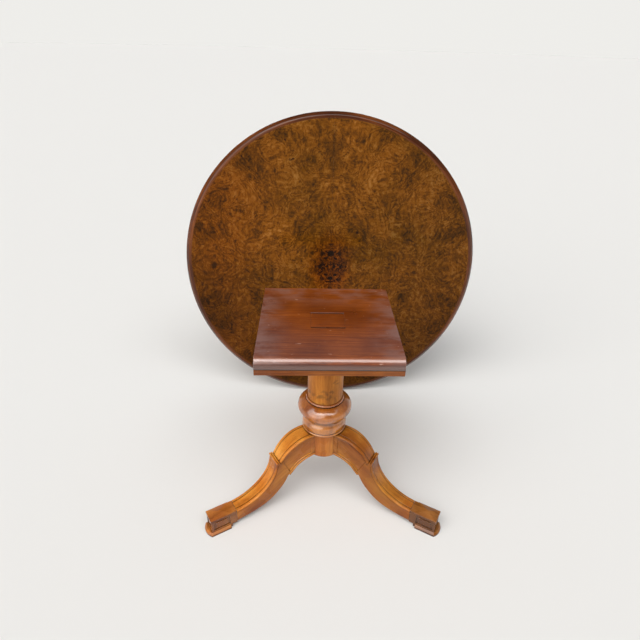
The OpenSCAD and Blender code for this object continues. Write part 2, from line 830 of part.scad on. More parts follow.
module catch_bolt() {
    nose = block_back - catch_reach;
    tail = catch_y + catch_l + tail_out;
    knob_z = catch_bottom_z - stem_l;
    color(brass) stand_top() union() {
        translate([0, 0, catch_z]) rotate([-90, 0, 0]) rotate_extrude() polygon([
            [0, nose], [catch_bolt_r - nose_in, nose], [catch_bolt_r, nose + nose_l],
            [catch_bolt_r, shoulder_y],
            [shoulder_r, shoulder_y], [shoulder_r, shoulder_y + shoulder_t],
            [catch_bolt_r, shoulder_y + shoulder_t], [catch_bolt_r, tail], [0, tail]]);
        translate([0, shoulder_y + shoulder_t / 2, knob_z]) {
            cylinder(r = stem_r, h = catch_z - knob_z);
            sphere(r = knob_r);
        }
    }
}

// One tube wound round the catch bolt, between its shoulder and the case's back wall
spring_r = (catch_bolt_r + chamber_r) / 2;
spring_end_gap = 0.2;
spring_from = shoulder_y + shoulder_t + spring_wire_r + spring_end_gap;
spring_to = catch_y + catch_l - catch_wall - spring_wire_r - spring_end_gap;
spring_rings = 12;
spring_sides = 6;

function spring_point(k, side) =
    let (a = 360 * k / spring_rings, s = 360 * side / spring_sides,
        r = spring_r + spring_wire_r * cos(s))
    [r * cos(a), spring_from + (spring_to - spring_from) * k / (spring_turns * spring_rings)
        + spring_wire_r * sin(s), r * sin(a)];

module catch_spring() {
    last = spring_turns * spring_rings;
    points = [for (k = [0:last], s = [0:spring_sides - 1]) spring_point(k, s)];
    walls = [for (k = [0:last - 1], s = [0:spring_sides - 1])
        let (a = k * spring_sides, t = (s + 1) % spring_sides)
        each [[a + s, a + t, a + spring_sides + t], [a + s, a + spring_sides + t, a + spring_sides + s]]];
    ends = [[for (s = [spring_sides - 1:-1:0]) s],
        [for (s = [0:spring_sides - 1]) last * spring_sides + s]];
    color(steel) stand_top() translate([0, 0, catch_z])
        polyhedron(points, concat(walls, ends));
}

row() {
    block_upper_board();
    block_lower_board();
    block_screws();
    striker_plate();
    striker_screws();
    column();
    tenon_wedges();
    upper_ring();
    lower_ring();
    hub();
    leg(0);  // leg_front_left
    leg(1);  // leg_front_right
    leg(2);  // leg_rear
    foot(0);  // foot_front_left
    foot(1);  // foot_front_right
    foot(2);  // foot_rear
    for (i = [0:board_count - 1])
        top_board(i);
    veneer(0);  // veneer_back_right
    veneer(1);  // veneer_back_left
    veneer(2);  // veneer_front_left
    veneer(3);  // veneer_front_right
    for (i = [0:rim_count - 1])
        rim(i);
    bearer(-1);  // bearer_left
    bearer(1);  // bearer_right
    bearer_screws();
    pivot_bolts();
    catch_case();
    catch_screws();
    catch_bolt();
    catch_spring();
}
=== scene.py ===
# %% [markdown]
# # A tilt-top table, taken apart
# This table has a tripod base with a turned column, and a round burr walnut top that tilts. Here the top has
# been lifted off, and stands on its edge behind the base. The lesson gives every piece of wood its worn edges
# and its polish. The construction already exists as a fixed frame, in metres, so a new piece only has to go
# where the frame says. We read the frame first, and note how large the table is before anything is added.

# %% Load the frame
import json
import math

import bmesh
import bpy
from mathutils import Matrix, Vector


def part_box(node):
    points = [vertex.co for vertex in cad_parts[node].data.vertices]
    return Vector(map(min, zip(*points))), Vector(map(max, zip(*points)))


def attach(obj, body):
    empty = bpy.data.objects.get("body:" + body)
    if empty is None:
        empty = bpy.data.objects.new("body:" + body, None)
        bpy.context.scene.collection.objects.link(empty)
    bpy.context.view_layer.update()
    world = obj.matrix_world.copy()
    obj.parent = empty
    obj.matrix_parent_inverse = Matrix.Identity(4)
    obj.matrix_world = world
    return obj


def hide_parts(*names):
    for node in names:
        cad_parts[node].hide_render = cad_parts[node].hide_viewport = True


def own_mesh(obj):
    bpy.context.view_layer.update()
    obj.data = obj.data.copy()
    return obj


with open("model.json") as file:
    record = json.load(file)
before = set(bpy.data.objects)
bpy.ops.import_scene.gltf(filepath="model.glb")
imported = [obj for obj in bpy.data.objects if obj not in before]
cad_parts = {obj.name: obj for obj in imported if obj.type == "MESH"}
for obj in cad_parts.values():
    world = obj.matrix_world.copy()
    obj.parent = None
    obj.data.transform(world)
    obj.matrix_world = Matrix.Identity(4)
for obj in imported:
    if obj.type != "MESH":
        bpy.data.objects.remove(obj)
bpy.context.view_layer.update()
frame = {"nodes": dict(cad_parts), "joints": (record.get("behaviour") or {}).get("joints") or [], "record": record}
MM = 0.001
print("pieces in the frame:", len(frame["nodes"]))

# %% [markdown]
# ## Where things stand
# Three places are used again and again. The base stands about the column's axis. Each leg lies in a plane
# through that axis. The top has a frame of its own, in which its polished face is flat and level: we model
# the top there as if it lay on a bench, and then lean it back. All three are worked out from boxes and joints
# of the frame.

# %% Work out the places
def span(*names):
    """The lowest and the highest corner of the box that holds these nodes."""
    boxes = [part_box(name) for name in names]
    low = Vector([min(box[0][k] for box in boxes) for k in range(3)])
    high = Vector([max(box[1][k] for box in boxes) for k in range(3)])
    return low, high


def turn(degrees, about):
    """A turn about the X, Y or Z direction."""
    return Matrix.Rotation(math.radians(degrees), 4, about)


hub_low, hub_high = span("hub")
axis = (hub_low + hub_high) / 2
BASE = Matrix.Translation((axis.x, axis.y, 0))
LEG_ANGLES = {"front_left": 210, "front_right": 330, "rear": 90}


def leg_place(side):
    """The plane of one leg: x runs outwards from the axis, z upwards."""
    return BASE @ turn(LEG_ANGLES[side], "Z")


catch_axis = next(joint["axis"] for joint in frame["joints"] if joint["name"] == "catch_slide")
tilt = math.atan2(catch_axis[2], catch_axis[1])
VENEERS = ["veneer_back_right", "veneer_back_left", "veneer_front_left", "veneer_front_right"]
RIMS = [f"rim_{i + 1}" for i in range(8)]
veneer_low, veneer_high = span(*VENEERS)
rim_low, rim_high = span(*RIMS)
veneer_t = 1.5 * MM
face_out = Vector((0, -math.sin(tilt), math.cos(tilt)))
top_middle = (veneer_low + veneer_high) / 2 + face_out * veneer_t / 2
TOP = Matrix.Translation(top_middle) @ Matrix.Rotation(tilt, 4, "X")
field_r = (veneer_high.x - veneer_low.x) / 2
top_r = (rim_high.x - rim_low.x) / 2
lean = round(90 - math.degrees(tilt), 2)
print("field radius", round(field_r, 4), "top radius", round(top_r, 4), "lean", lean)

# %% [markdown]
# ## The camera
# The photograph was taken standing, from the front and looking down. The lens and the three turns below come
# from lining up the square block, the round top and the three feet with the picture, so they belong together.

# %% Set the camera
LENS = 27.555
SENSOR_WIDTH = 36
CAMERA_PLACE = (-0.0987, -1.5388, 1.4637)
LOOK_DOWN = 30.368
TURN_LEFT = -1.798
ROLL = 1.514


def put_in_scene(name, data):
    """A new object in the scene that holds some data."""
    thing = bpy.data.objects.new(name, data)
    bpy.context.scene.collection.objects.link(thing)
    return thing


camera_data = bpy.data.cameras.new("camera")
camera_data.lens = LENS
camera_data.sensor_width = SENSOR_WIDTH
camera = put_in_scene("camera", camera_data)
camera.matrix_world = (Matrix.Translation(CAMERA_PLACE) @ turn(TURN_LEFT, "Z") @ turn(90 - LOOK_DOWN, "X")
                       @ turn(ROLL, "Z"))
bpy.context.scene.camera = camera

# %% [markdown]
# ## Small helpers for materials
# The surround and every finish are chains of a dozen nodes or more, and a few helpers keep them readable. A
# socket may be given a plain value or the output of another node. An output knows the tree that it belongs
# to, so only a helper that begins a chain has to be told the tree.

# %% Node helpers
def fill(socket, value):
    """Gives a socket a plain value, or links another node's output to it."""
    if isinstance(value, bpy.types.NodeSocket):
        socket.id_data.links.new(value, socket)
    else:
        socket.default_value = value


def fill_named(node, inputs):
    """Fills a node's sockets by their names, with underscores for spaces."""
    for name, value in inputs.items():
        fill(node.inputs[name.replace("_", " ")], value)


def add(tree, kind, output=0, settings=None, **inputs):
    """Adds a node, fills its named inputs and returns one of its outputs."""
    node = tree.nodes.new(kind)
    for name, value in (settings or {}).items():
        setattr(node, name, value)
    fill_named(node, inputs)
    return node.outputs[output]


def step(kind, settings, inputs, output=0):
    """Adds a node that works on other outputs. Its inputs are given by number."""
    tree = next(value.id_data for value in inputs.values() if isinstance(value, bpy.types.NodeSocket))
    result = add(tree, kind, output, settings)
    for number, value in inputs.items():
        fill(result.node.inputs[number], value)
    return result


def sums(operation, first, second=0.0, clamp=False):
    """One step of arithmetic on two values."""
    return step("ShaderNodeMath", {"operation": operation, "use_clamp": clamp}, {0: first, 1: second})


def vectors(operation, first, second=(0, 0, 0), output=0):
    """One step of arithmetic on two sets of coordinates. Output 1 is a length or a distance."""
    return step("ShaderNodeVectorMath", {"operation": operation}, {0: first, 1: second}, output)


def mix(factor, first, second, blend="MIX"):
    """Mixes two colours, each an output or an RGB triple."""
    first, second = [(*colour, 1) if isinstance(colour, tuple) else colour for colour in (first, second)]
    settings = {"data_type": "RGBA", "blend_type": blend}
    return step("ShaderNodeMix", settings, {0: factor, 6: first, 7: second}, 2)


def times(first, *others):
    """The product of some values."""
    for other in others:
        first = sums("MULTIPLY", first, other)
    return first


def weighted(*parts):
    """The sum of some values, each multiplied by its weight."""
    total, *rest = [times(value, weight) for value, weight in parts]
    for part in rest:
        total = sums("ADD", total, part)
    return total


def lay(colour, over, *masks, blend="MIX"):
    """Lays a second colour over the first, as strongly as the product of some masks says."""
    return mix(times(*masks), colour, over, blend)


def ramp(value, stops):
    """Turns a value into a colour. Stops are (place, RGB) pairs, or (place, grey) pairs."""
    result = step("ShaderNodeValToRGB", {}, {0: value})
    elements = result.node.color_ramp.elements
    while len(elements) < len(stops):
        elements.new(0.5)
    for element, (place, colour) in zip(elements, stops):
        element.position = place
        element.color = (*colour, 1) if isinstance(colour, tuple) else (colour, colour, colour, 1)
    return result


def slope(value, low, high):
    """0 below the low value, 1 above the high one, soft between. Low may be the greater."""
    return add(value.id_data, "ShaderNodeMapRange", 0, {"interpolation_type": "SMOOTHSTEP"}, Value=value,
               From_Min=low, From_Max=high)


def noise(coords, scale, detail, roughness=0.55, distortion=0.0, output=0):
    """Cloudy noise, the root of nearly every mark in wood. Output 1 is a colour."""
    return add(coords.id_data, "ShaderNodeTexNoise", output, Vector=coords, Scale=scale, Detail=detail,
               Roughness=roughness, Distortion=distortion)


def stretch(coords, amounts):
    """Coordinates multiplied along each direction. A small amount draws a mark out."""
    return vectors("MULTIPLY", coords, amounts)


def shifted(coords, push, amount):
    """Coordinates pushed about by a colour, which bends whatever pattern follows."""
    centred = vectors("SUBTRACT", push, (0.5, 0.5, 0.5))
    return vectors("ADD", coords, stretch(centred, (amount, amount, amount)))


def split(coords):
    """The x, y and z of some coordinates."""
    return add(coords.id_data, "ShaderNodeSeparateXYZ", Vector=coords).node.outputs[:]


def start_material(name, place=Matrix()):
    """A new material and its coordinates, measured in the frame that a piece was modelled in."""
    material = bpy.data.materials.new(name)
    material.use_nodes = True
    coords = add(material.node_tree, "ShaderNodeTexCoord", 3)
    mapped = add(material.node_tree, "ShaderNodeMapping", 0, {"vector_type": "TEXTURE"}, Vector=coords,
                 Location=place.to_translation(), Rotation=place.to_euler())
    return material, mapped


def set_surface(material, **inputs):
    """Fills named inputs of a material's surface."""
    fill_named(material.node_tree.nodes["Principled BSDF"], inputs)
    return material


def polish(material, colour, roughness, height, bump=0.1, gleam=0.3, coat=0.5, coat_roughness=0.12,
           mirror=1.5):
    """Ends a material as French polish over wood: a soft base under a clear coat, mirror being its index."""
    normal = add(material.node_tree, "ShaderNodeBump", Height=height, Strength=bump, Distance=0.4 * MM)
    return set_surface(material, Base_Color=colour, Roughness=roughness, Specular_IOR_Level=gleam,
                       Coat_Weight=coat, Coat_Roughness=coat_roughness, Coat_IOR=mirror, Normal=normal,
                       Coat_Normal=normal)


print("helpers are ready")

# %% [markdown]
# ## Floor and light
# A pale floor and a pale surround keep the eye on the wood. Polish shows itself only by what it reflects, so
# the surround is drawn like a studio: pale near the horizon, dimmer higher up, and with one long bright panel
# high in front, which makes the bright lines along the moulded edge and the turned rings. The panel is drawn
# where each direction would meet a ceiling, so it is endlessly far away and lights the whole floor alike. The
# camera itself sees only a plain backdrop, as pale as the lit floor in front of it. One large soft lamp from
# the front left shapes the legs and the column.

# %% Build the studio
PALE = (0.80, 0.79, 0.77, 1)
FLOOR_RADIUS = 60
HORIZON = (0.82, 0.81, 0.785)
BACKDROP = (0.859, 0.850, 0.822)
OVERHEAD = (0.20, 0.21, 0.22)
DIMS_FROM = 0.04
DIMS_TO = 0.34
PANEL_LIGHT = 3.7
PANEL_HALF_WIDTH = 0.65
PANEL_HALF_DEPTH = 0.18
PANEL_EDGE = 0.20
PANEL_FORWARD = -0.50
PANEL_ABOVE = 0.1
LEAST_HEIGHT = 0.05
LAMP_SPREAD = 65
LAMP_ENERGY = 1.9
LAMP_COLOUR = (1.0, 0.97, 0.93)
LAMP_ROUND = -42
LAMP_DOWN = 55

floor_bm = bmesh.new()
bmesh.ops.create_circle(floor_bm, cap_ends=True, segments=96, radius=FLOOR_RADIUS)
floor_mesh = bpy.data.meshes.new("floor")
floor_bm.to_mesh(floor_mesh)
floor_bm.free()
floor = put_in_scene("floor", floor_mesh)
pale_floor = bpy.data.materials.new("pale_floor")
pale_floor.use_nodes = True
floor.data.materials.append(set_surface(pale_floor, Base_Color=PALE, Roughness=1.0, Specular_IOR_Level=0.0))

world = bpy.data.worlds.new("surround")
bpy.context.scene.world = world
world.use_nodes = True
sky = world.node_tree
aside, ahead, up = split(add(sky, "ShaderNodeTexCoord"))
ceiling = sums("MAXIMUM", up, LEAST_HEIGHT)
panel_mask = sums("GREATER_THAN", up, PANEL_ABOVE)
for part, half, middle in ((aside, PANEL_HALF_WIDTH, 0.0), (ahead, PANEL_HALF_DEPTH, PANEL_FORWARD)):
    off_middle = sums("ABSOLUTE", sums("SUBTRACT", sums("DIVIDE", part, ceiling), middle))
    outside = sums("DIVIDE", sums("SUBTRACT", off_middle, half), PANEL_EDGE, clamp=True)
    panel_mask = times(panel_mask, sums("SUBTRACT", 1.0, outside, clamp=True))
pale_to_dim = mix(slope(up, DIMS_FROM, DIMS_TO), HORIZON, OVERHEAD)
studio = mix(1.0, pale_to_dim, times(panel_mask, PANEL_LIGHT), "ADD")
seen_by_camera = add(sky, "ShaderNodeLightPath")
fill_named(sky.nodes["Background"], {"Color": mix(seen_by_camera, studio, BACKDROP), "Strength": 1.0})

lamp_data = bpy.data.lights.new("front_left", "SUN")
lamp_data.angle = math.radians(LAMP_SPREAD)
lamp_data.energy = LAMP_ENERGY
lamp_data.color = LAMP_COLOUR
put_in_scene("front_left", lamp_data).matrix_world = turn(LAMP_ROUND, "Z") @ turn(LAMP_DOWN, "X")
bpy.context.scene.view_settings.view_transform = "Standard"
print("studio: a floor, a surround and", len(bpy.data.lights), "lamp")

# %% [markdown]
# ## Dirt, painted shade and wear
# Old furniture is darker in its corners and paler on its edges. Ambient Occlusion gives both from the shape
# itself: measured outside the surface it finds the corners, which are painted darker both for the wax and dust
# that collect there and as painted shade, and measured inside it finds the edges that hands have rubbed.

# %% Dirt, painted shade and wear helpers
AO_SAMPLES = 6
# The colour of dark corners: wax dirt, and painted shade
CORNER_DIRT_AND_SHADE = (0.020, 0.010, 0.006)


def corners(tree, reach):
    """1 in the open, falling to 0 in a corner or against another piece."""
    return add(tree, "ShaderNodeAmbientOcclusion", 1, {"samples": AO_SAMPLES}, Distance=reach)


def edges(tree, reach):
    """0 on a flat, rising to 1 along an edge."""
    settings = {"samples": AO_SAMPLES, "inside": True, "only_local": True}
    node = add(tree, "ShaderNodeAmbientOcclusion", 1, settings, Distance=reach)
    return sums("SUBTRACT", 1.0, node, clamp=True)


def darken_corners_lighten_edges(colour, dirt_and_shade, edge_colour, dirt_and_shade_reach=7 * MM, edge_reach=2.5 * MM, dirt_and_shade_amount=0.8, edge_amount=0.5):
    """Darkens the corners of a finish, as dirt and painted shade, and lightens its edges."""
    dirt_and_shade_mask = ramp(corners(colour.id_data, dirt_and_shade_reach), [(0.42, 1.0), (0.86, 0.0)])
    # Lighter edges are wear; on the feet they are also a painted highlight
    rubbed = ramp(edges(colour.id_data, edge_reach), [(0.35, 0.0), (0.75, 1.0)])
    return lay(lay(colour, edge_colour, rubbed, edge_amount), dirt_and_shade, dirt_and_shade_mask, dirt_and_shade_amount)


# %% [markdown]
# ## Straight-grained wood
# Mahogany, plain walnut and pine differ in colour and in how lively they are, but they are drawn in one way.
# Noise that is stretched along the trunk gives the broad bands, a finer one gives the fibres, a very fine one
# the open pores, and a slow cloud varies the tone from place to place. Local x is the direction of the grain.
# A wood is given as its dark, its middle and its light colour.

# %% Straight grain
def straight_grain(coords, wood, bands, length, pores=0.5, cloud=4.0, seed=(0, 0, 0)):
    """The colour of a plain board, its height for the bump, and the cloud that varies its tone."""
    dark, middle, light = wood
    place = add(coords.id_data, "ShaderNodeMapping", Vector=coords, Location=seed)
    bent = shifted(place, noise(stretch(place, (1.2, 4, 4)), 1.5, 3, output=1), 0.03)
    band = noise(stretch(bent, (length, bands, bands)), 1.0, 5, 0.6)
    fibre = noise(stretch(bent, (length * 4, bands * 12, bands * 12)), 1.0, 3, 0.7)
    colour = ramp(weighted((band, 0.72), (fibre, 0.28)), [(0.34, dark), (0.5, middle), (0.66, light)])
    pore = ramp(noise(stretch(bent, (26, 620, 620)), 1.0, 2, 0.6), [(0.3, 1.0), (0.42, 0.0)])
    colour = lay(colour, tuple(c * 0.35 for c in dark), pore, pores)
    slow = noise(place, cloud, 3, 0.5)
    colour = lay(colour, middle, ramp(slow, [(0.35, 0.55), (0.65, 0.0)]), blend="MULTIPLY")
    return colour, sums("SUBTRACT", fibre, times(pore, 0.7)), slow


# %% [markdown]
# ## Mahogany for the block
# The block was never meant to be seen, so it is plain red mahogany with its grain from side to side. The top
# has lain on it and rubbed it for a long time: the rounded front is worn to bright wood at its crest, and pale
# scratches cross it. A grey-pink painted sheen lies towards the sides and the back, and the rounded front is
# painted darker below its crest as shade. Each of these is a soft mask drawn from where a point lies.

# %% Mahogany
MAHOGANY = ((0.130, 0.022, 0.002), (0.240, 0.047, 0.003), (0.340, 0.082, 0.009))
MAHOGANY_STRIP = ((0.15, 0.040, 0.006), (0.27, 0.078, 0.010), (0.36, 0.120, 0.018))
WEDGE_END_GRAIN_AND_SHADE = ((0.05, 0.014, 0.006), (0.10, 0.028, 0.010), (0.15, 0.045, 0.014))
MAHOGANY_WORN = (0.58, 0.32, 0.22)
PAINTED_SHEEN = (0.235, 0.112, 0.088)
CREST = (0.52, 0.19, 0.075)
PAINTED_NOSE_SHADE = (0.060, 0.022, 0.014)
nose_r = 31 * MM
board_low, board_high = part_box("block_upper_board")
block_half_w = (board_high.x - board_low.x) / 2
block_half_d = (board_high.y - board_low.y) / 2


def mahogany(name, wood, seed=(0, 0, 0), sheen_and_scratches=0.8, wear=0.6, coat=1.0):
    material, coords = start_material(name, BASE)
    colour, height, slow = straight_grain(coords, wood, bands=210, length=5, cloud=7, seed=seed)
    x, y, z = split(coords)
    painted_light_on_sides = slope(sums("ABSOLUTE", x), block_half_w * 0.5, block_half_w * 1.02)
    back = slope(y, block_half_d * 0.3, block_half_d)
    blotches = slope(noise(stretch(coords, (0.5, 1, 1)), 22, 4, 0.6), 0.36, 0.62)
    # Painted sheen: grey-pink blotches towards the sides and the back of the block
    colour = lay(colour, PAINTED_SHEEN, sums("MAXIMUM", painted_light_on_sides, back), blotches, sheen_and_scratches)
    # Pale scratches, drawn as strongly as the painted sheen
    scratches = slope(noise(stretch(coords, (40, 170, 170)), 1.0, 2, 0.5, 0.6), 0.72, 0.76)
    colour = lay(colour, MAHOGANY_WORN, scratches, sheen_and_scratches)
    front = slope(y, 14 * MM - block_half_d + nose_r * 0.3, 4 * MM - block_half_d)
    colour = lay(colour, CREST, front, slope(z, board_high.z - 12 * MM, board_high.z - 3 * MM), wear)
    # Painted shade: the rounded front is darker below its crest, down to the joint
    painted_shade_below_crest = slope(z, board_high.z - 10 * MM, board_high.z - 20 * MM)
    colour = lay(colour, PAINTED_NOSE_SHADE, painted_shade_below_crest, slope(z, board_low.z - 1 * MM, board_low.z + 1 * MM), 0.75)
    from_joint = sums("ABSOLUTE", sums("SUBTRACT", z, board_low.z))
    colour = lay(colour, CORNER_DIRT_AND_SHADE, slope(from_joint, 2.2 * MM, 0.8 * MM), 0.85)
    colour = darken_corners_lighten_edges(colour, CORNER_DIRT_AND_SHADE, MAHOGANY_WORN, edge_reach=1.6 * MM, edge_amount=0.75)
    roughness = ramp(slow, [(0.3, 0.26), (0.7, 0.42)])
    return polish(material, colour, roughness, height, bump=0.2, gleam=0.15, coat=coat, coat_roughness=0.06,
                  mirror=1.95)


mahogany_red = mahogany("mahogany_red", MAHOGANY)
mahogany_strip = mahogany("mahogany_strip", MAHOGANY_STRIP, seed=(3, 1, 2), sheen_and_scratches=0.1, wear=0.0, coat=0.1)
# The wedges are painted very dark: end grain, and painted shade in their slits
wedge_end_grain_and_shade = mahogany("wedge_end_grain_and_shade", WEDGE_END_GRAIN_AND_SHADE, sheen_and_scratches=0.0, wear=0.0, coat=0.0)

# %% [markdown]
# ## Golden walnut for the column, hub, legs and feet
# These are cut from solid walnut that has faded to honey. The column has the liveliest figure, so it mixes in
# swirls and small knots. Each leg is sawn along its own slope and from its own plank, so its grain is laid in
# the plane of that leg. The front left leg is paler and the front right one darker, partly the tone of each
# plank and partly painted light from the left. Faces that turn sideways are painted darker than those facing
# up, and faces that turn down darker still, as painted shade.

# %% Golden walnut
WALNUT = ((0.320, 0.106, 0.011), (0.570, 0.215, 0.026), (0.710, 0.315, 0.050))
HUB_WALNUT = (WALNUT[0], (0.50, 0.172, 0.026), WALNUT[2])
RING_WALNUT = ((0.30, 0.088, 0.012), (0.56, 0.205, 0.026), (0.70, 0.300, 0.048))
FOOT_WALNUT = ((0.18, 0.052, 0.008), (0.40, 0.145, 0.026), (0.56, 0.23, 0.052))
WALNUT_WORN = (0.76, 0.42, 0.15)
FOOT_EDGE_WEAR_AND_HIGHLIGHT = (0.85, 0.55, 0.40)
FIGURE_DARK = (0.085, 0.035, 0.012)
PAINTED_UNDERSIDE_SHADE = (0.55, 0.42, 0.25)
PAINTED_NECK_SHADE = (0.13, 0.036, 0.006)
NECK_Z = 0.337
UPRIGHT = turn(-90, "Y")
LEG_SLOPE = 32
# The front left leg paler, the front right one darker: each plank's tone, and painted light from the left
LEG_TONE_AND_PAINTED_LIGHT = {"front_left": 1.12, "front_right": 0.86, "rear": 1.0}


def golden_walnut(name, place, wood=WALNUT, edge_colour=WALNUT_WORN, figure=0.0, seed=(0, 0, 0), painted_light_on_sides=(1, 1, 1),
                  neck=None, dirt_and_shade_reach=6 * MM, edge_amount=0.5, gloss=0.22, coat=0.3, **more):
    material, coords = start_material(name, place)
    tree = material.node_tree
    colour, height, slow = straight_grain(coords, wood, bands=30, length=3.0, pores=0.4, cloud=9.0, seed=seed)
    swirl = noise(add(tree, "ShaderNodeMapping", Vector=coords, Location=seed), 11, 5, 0.6, 1.8)
    colour = lay(colour, FIGURE_DARK, ramp(swirl, [(0.36, 1.0), (0.45, 0.0)]), figure)
    facing = split(add(tree, "ShaderNodeTexCoord", 1))[2]
    # Painted shade: faces turned sideways darker than those facing up, and those facing down darker still
    colour = lay(colour, painted_light_on_sides, slope(facing, 0.55, 0.1), blend="MULTIPLY")
    colour = lay(colour, PAINTED_UNDERSIDE_SHADE, slope(facing, -0.25, -0.75), blend="MULTIPLY")
    # Painted shade in the crease between the rings
    if neck is not None:
        from_neck = sums("ABSOLUTE", sums("SUBTRACT", split(coords)[0], neck))
        colour = lay(colour, PAINTED_NECK_SHADE, slope(from_neck, 11 * MM, 4 * MM), 0.8)
    colour = darken_corners_lighten_edges(colour, CORNER_DIRT_AND_SHADE, edge_colour, dirt_and_shade_reach, dirt_and_shade_amount=0.95, edge_amount=edge_amount)
    roughness = ramp(slow, [(0.3, gloss), (0.7, gloss + 0.12)])
    return polish(material, colour, roughness, height, bump=0.12, gleam=0.15, coat=coat, **more)


def toned(wood, side, strength=1):
    """The wood a little paler or darker per leg: partly the tone of its plank, partly painted light from the left.
    """
    return tuple(tuple(c * LEG_TONE_AND_PAINTED_LIGHT[side] ** strength for c in colour) for colour in wood)


column_walnut = golden_walnut("column_walnut", BASE @ UPRIGHT, figure=0.55, seed=(1, 0, 2), gloss=0.42,
                              coat=0.15)
hub_walnut = golden_walnut("hub_walnut", BASE @ UPRIGHT, HUB_WALNUT, figure=0.1, seed=(4, 1, 0))
ring_walnut = golden_walnut("ring_walnut", BASE @ UPRIGHT, RING_WALNUT, figure=0.3, seed=(2, 3, 0),
                            painted_light_on_sides=(0.88, 0.85, 0.75), neck=NECK_Z, gloss=0.25, coat=1.0, coat_roughness=0.13,
                            mirror=1.9)
leg_walnut = {}
foot_walnut = {}
for number, side in enumerate(LEG_ANGLES):
    leg_walnut[side] = golden_walnut(f"leg_walnut_{side}", leg_place(side) @ turn(LEG_SLOPE, "Y"),
                                     toned(WALNUT, side), figure=0.12, seed=(number * 3, 1, number),
                                     painted_light_on_sides=(0.66, 0.60, 0.50))
    # The feet: a pale pink on their edges, wear and also a painted highlight along the plinth's bevel; darkening
    # that reaches far into their recesses, dirt and painted shade
    foot_walnut[side] = golden_walnut(f"foot_walnut_{side}", leg_place(side), toned(FOOT_WALNUT, side, 2),
                                      FOOT_EDGE_WEAR_AND_HIGHLIGHT, figure=0.2, seed=(number, 2, 5), painted_light_on_sides=(0.50, 0.46, 0.40),
                                      dirt_and_shade_reach=9 * MM, edge_amount=0.8, gloss=0.15, coat=0.6)
print("walnut finishes:", 3 + len(leg_walnut) + len(foot_walnut))

# %% [markdown]
# ## Burr walnut for the face
# A burr is cut from a knotty growth, so it has no grain at all: its fibres swirl round hundreds of tiny buds.
# Four leaves cut one after another from the same block are opened like a book, so each quarter mirrors its
# neighbours. We get that for nothing by taking the absolute value of x and y before any pattern is drawn. A
# second, slower cloud isn't mirrored, because light and age haven't treated the four quarters alike.

# %% Burr walnut
BURR_BLACK = (0.010, 0.005, 0.003)
BURR_DARK = (0.040, 0.016, 0.003)
BURR_BROWN = (0.105, 0.035, 0.003)
BURR_ORANGE = (0.200, 0.064, 0.004)
BURR_PALE = (0.310, 0.128, 0.024)
# Where each knot lies on the face, in metres, and its radius in millimetres
KNOTS = [(-0.361, 0.445, 7), (-0.159, 0.441, 8), (-0.197, 0.506, 6), (0.107, 0.281, 9), (0.100, 0.152, 11),
         (-0.110, 0.225, 6), (0.220, 0.110, 6), (0.340, 0.330, 7), (0.168, 0.345, 6), (-0.330, -0.140, 7)]


def star(folded, wobble):
    """The dark heart where the four leaves meet, and the warm halo round it."""
    x, y, z = split(shifted(folded, wobble, 0.05))
    squashed = add(folded.id_data, "ShaderNodeCombineXYZ", X=x, Y=times(y, 0.62))
    distance = vectors("LENGTH", squashed, output=1)
    blots = slope(noise(shifted(folded, wobble, 0.02), 36, 5, 0.7, 2.0), 0.47, 0.50)
    heart = times(slope(distance, 0.070, 0.044), blots)
    specks = times(slope(distance, 0.12, 0.05), slope(noise(folded, 85, 3, 0.6, 0.8), 0.58, 0.62))
    return sums("MAXIMUM", heart, specks), slope(distance, 0.12, 0.03)


def knot_mask(coords):
    """A small dark spot at every place in the list of knots."""
    mask = 0.0
    for x, y, size in KNOTS:
        away = vectors("DISTANCE", coords, (x, y, 0), output=1)
        mask = sums("MAXIMUM", mask, slope(away, size * MM, size * MM * 0.35))
    return mask


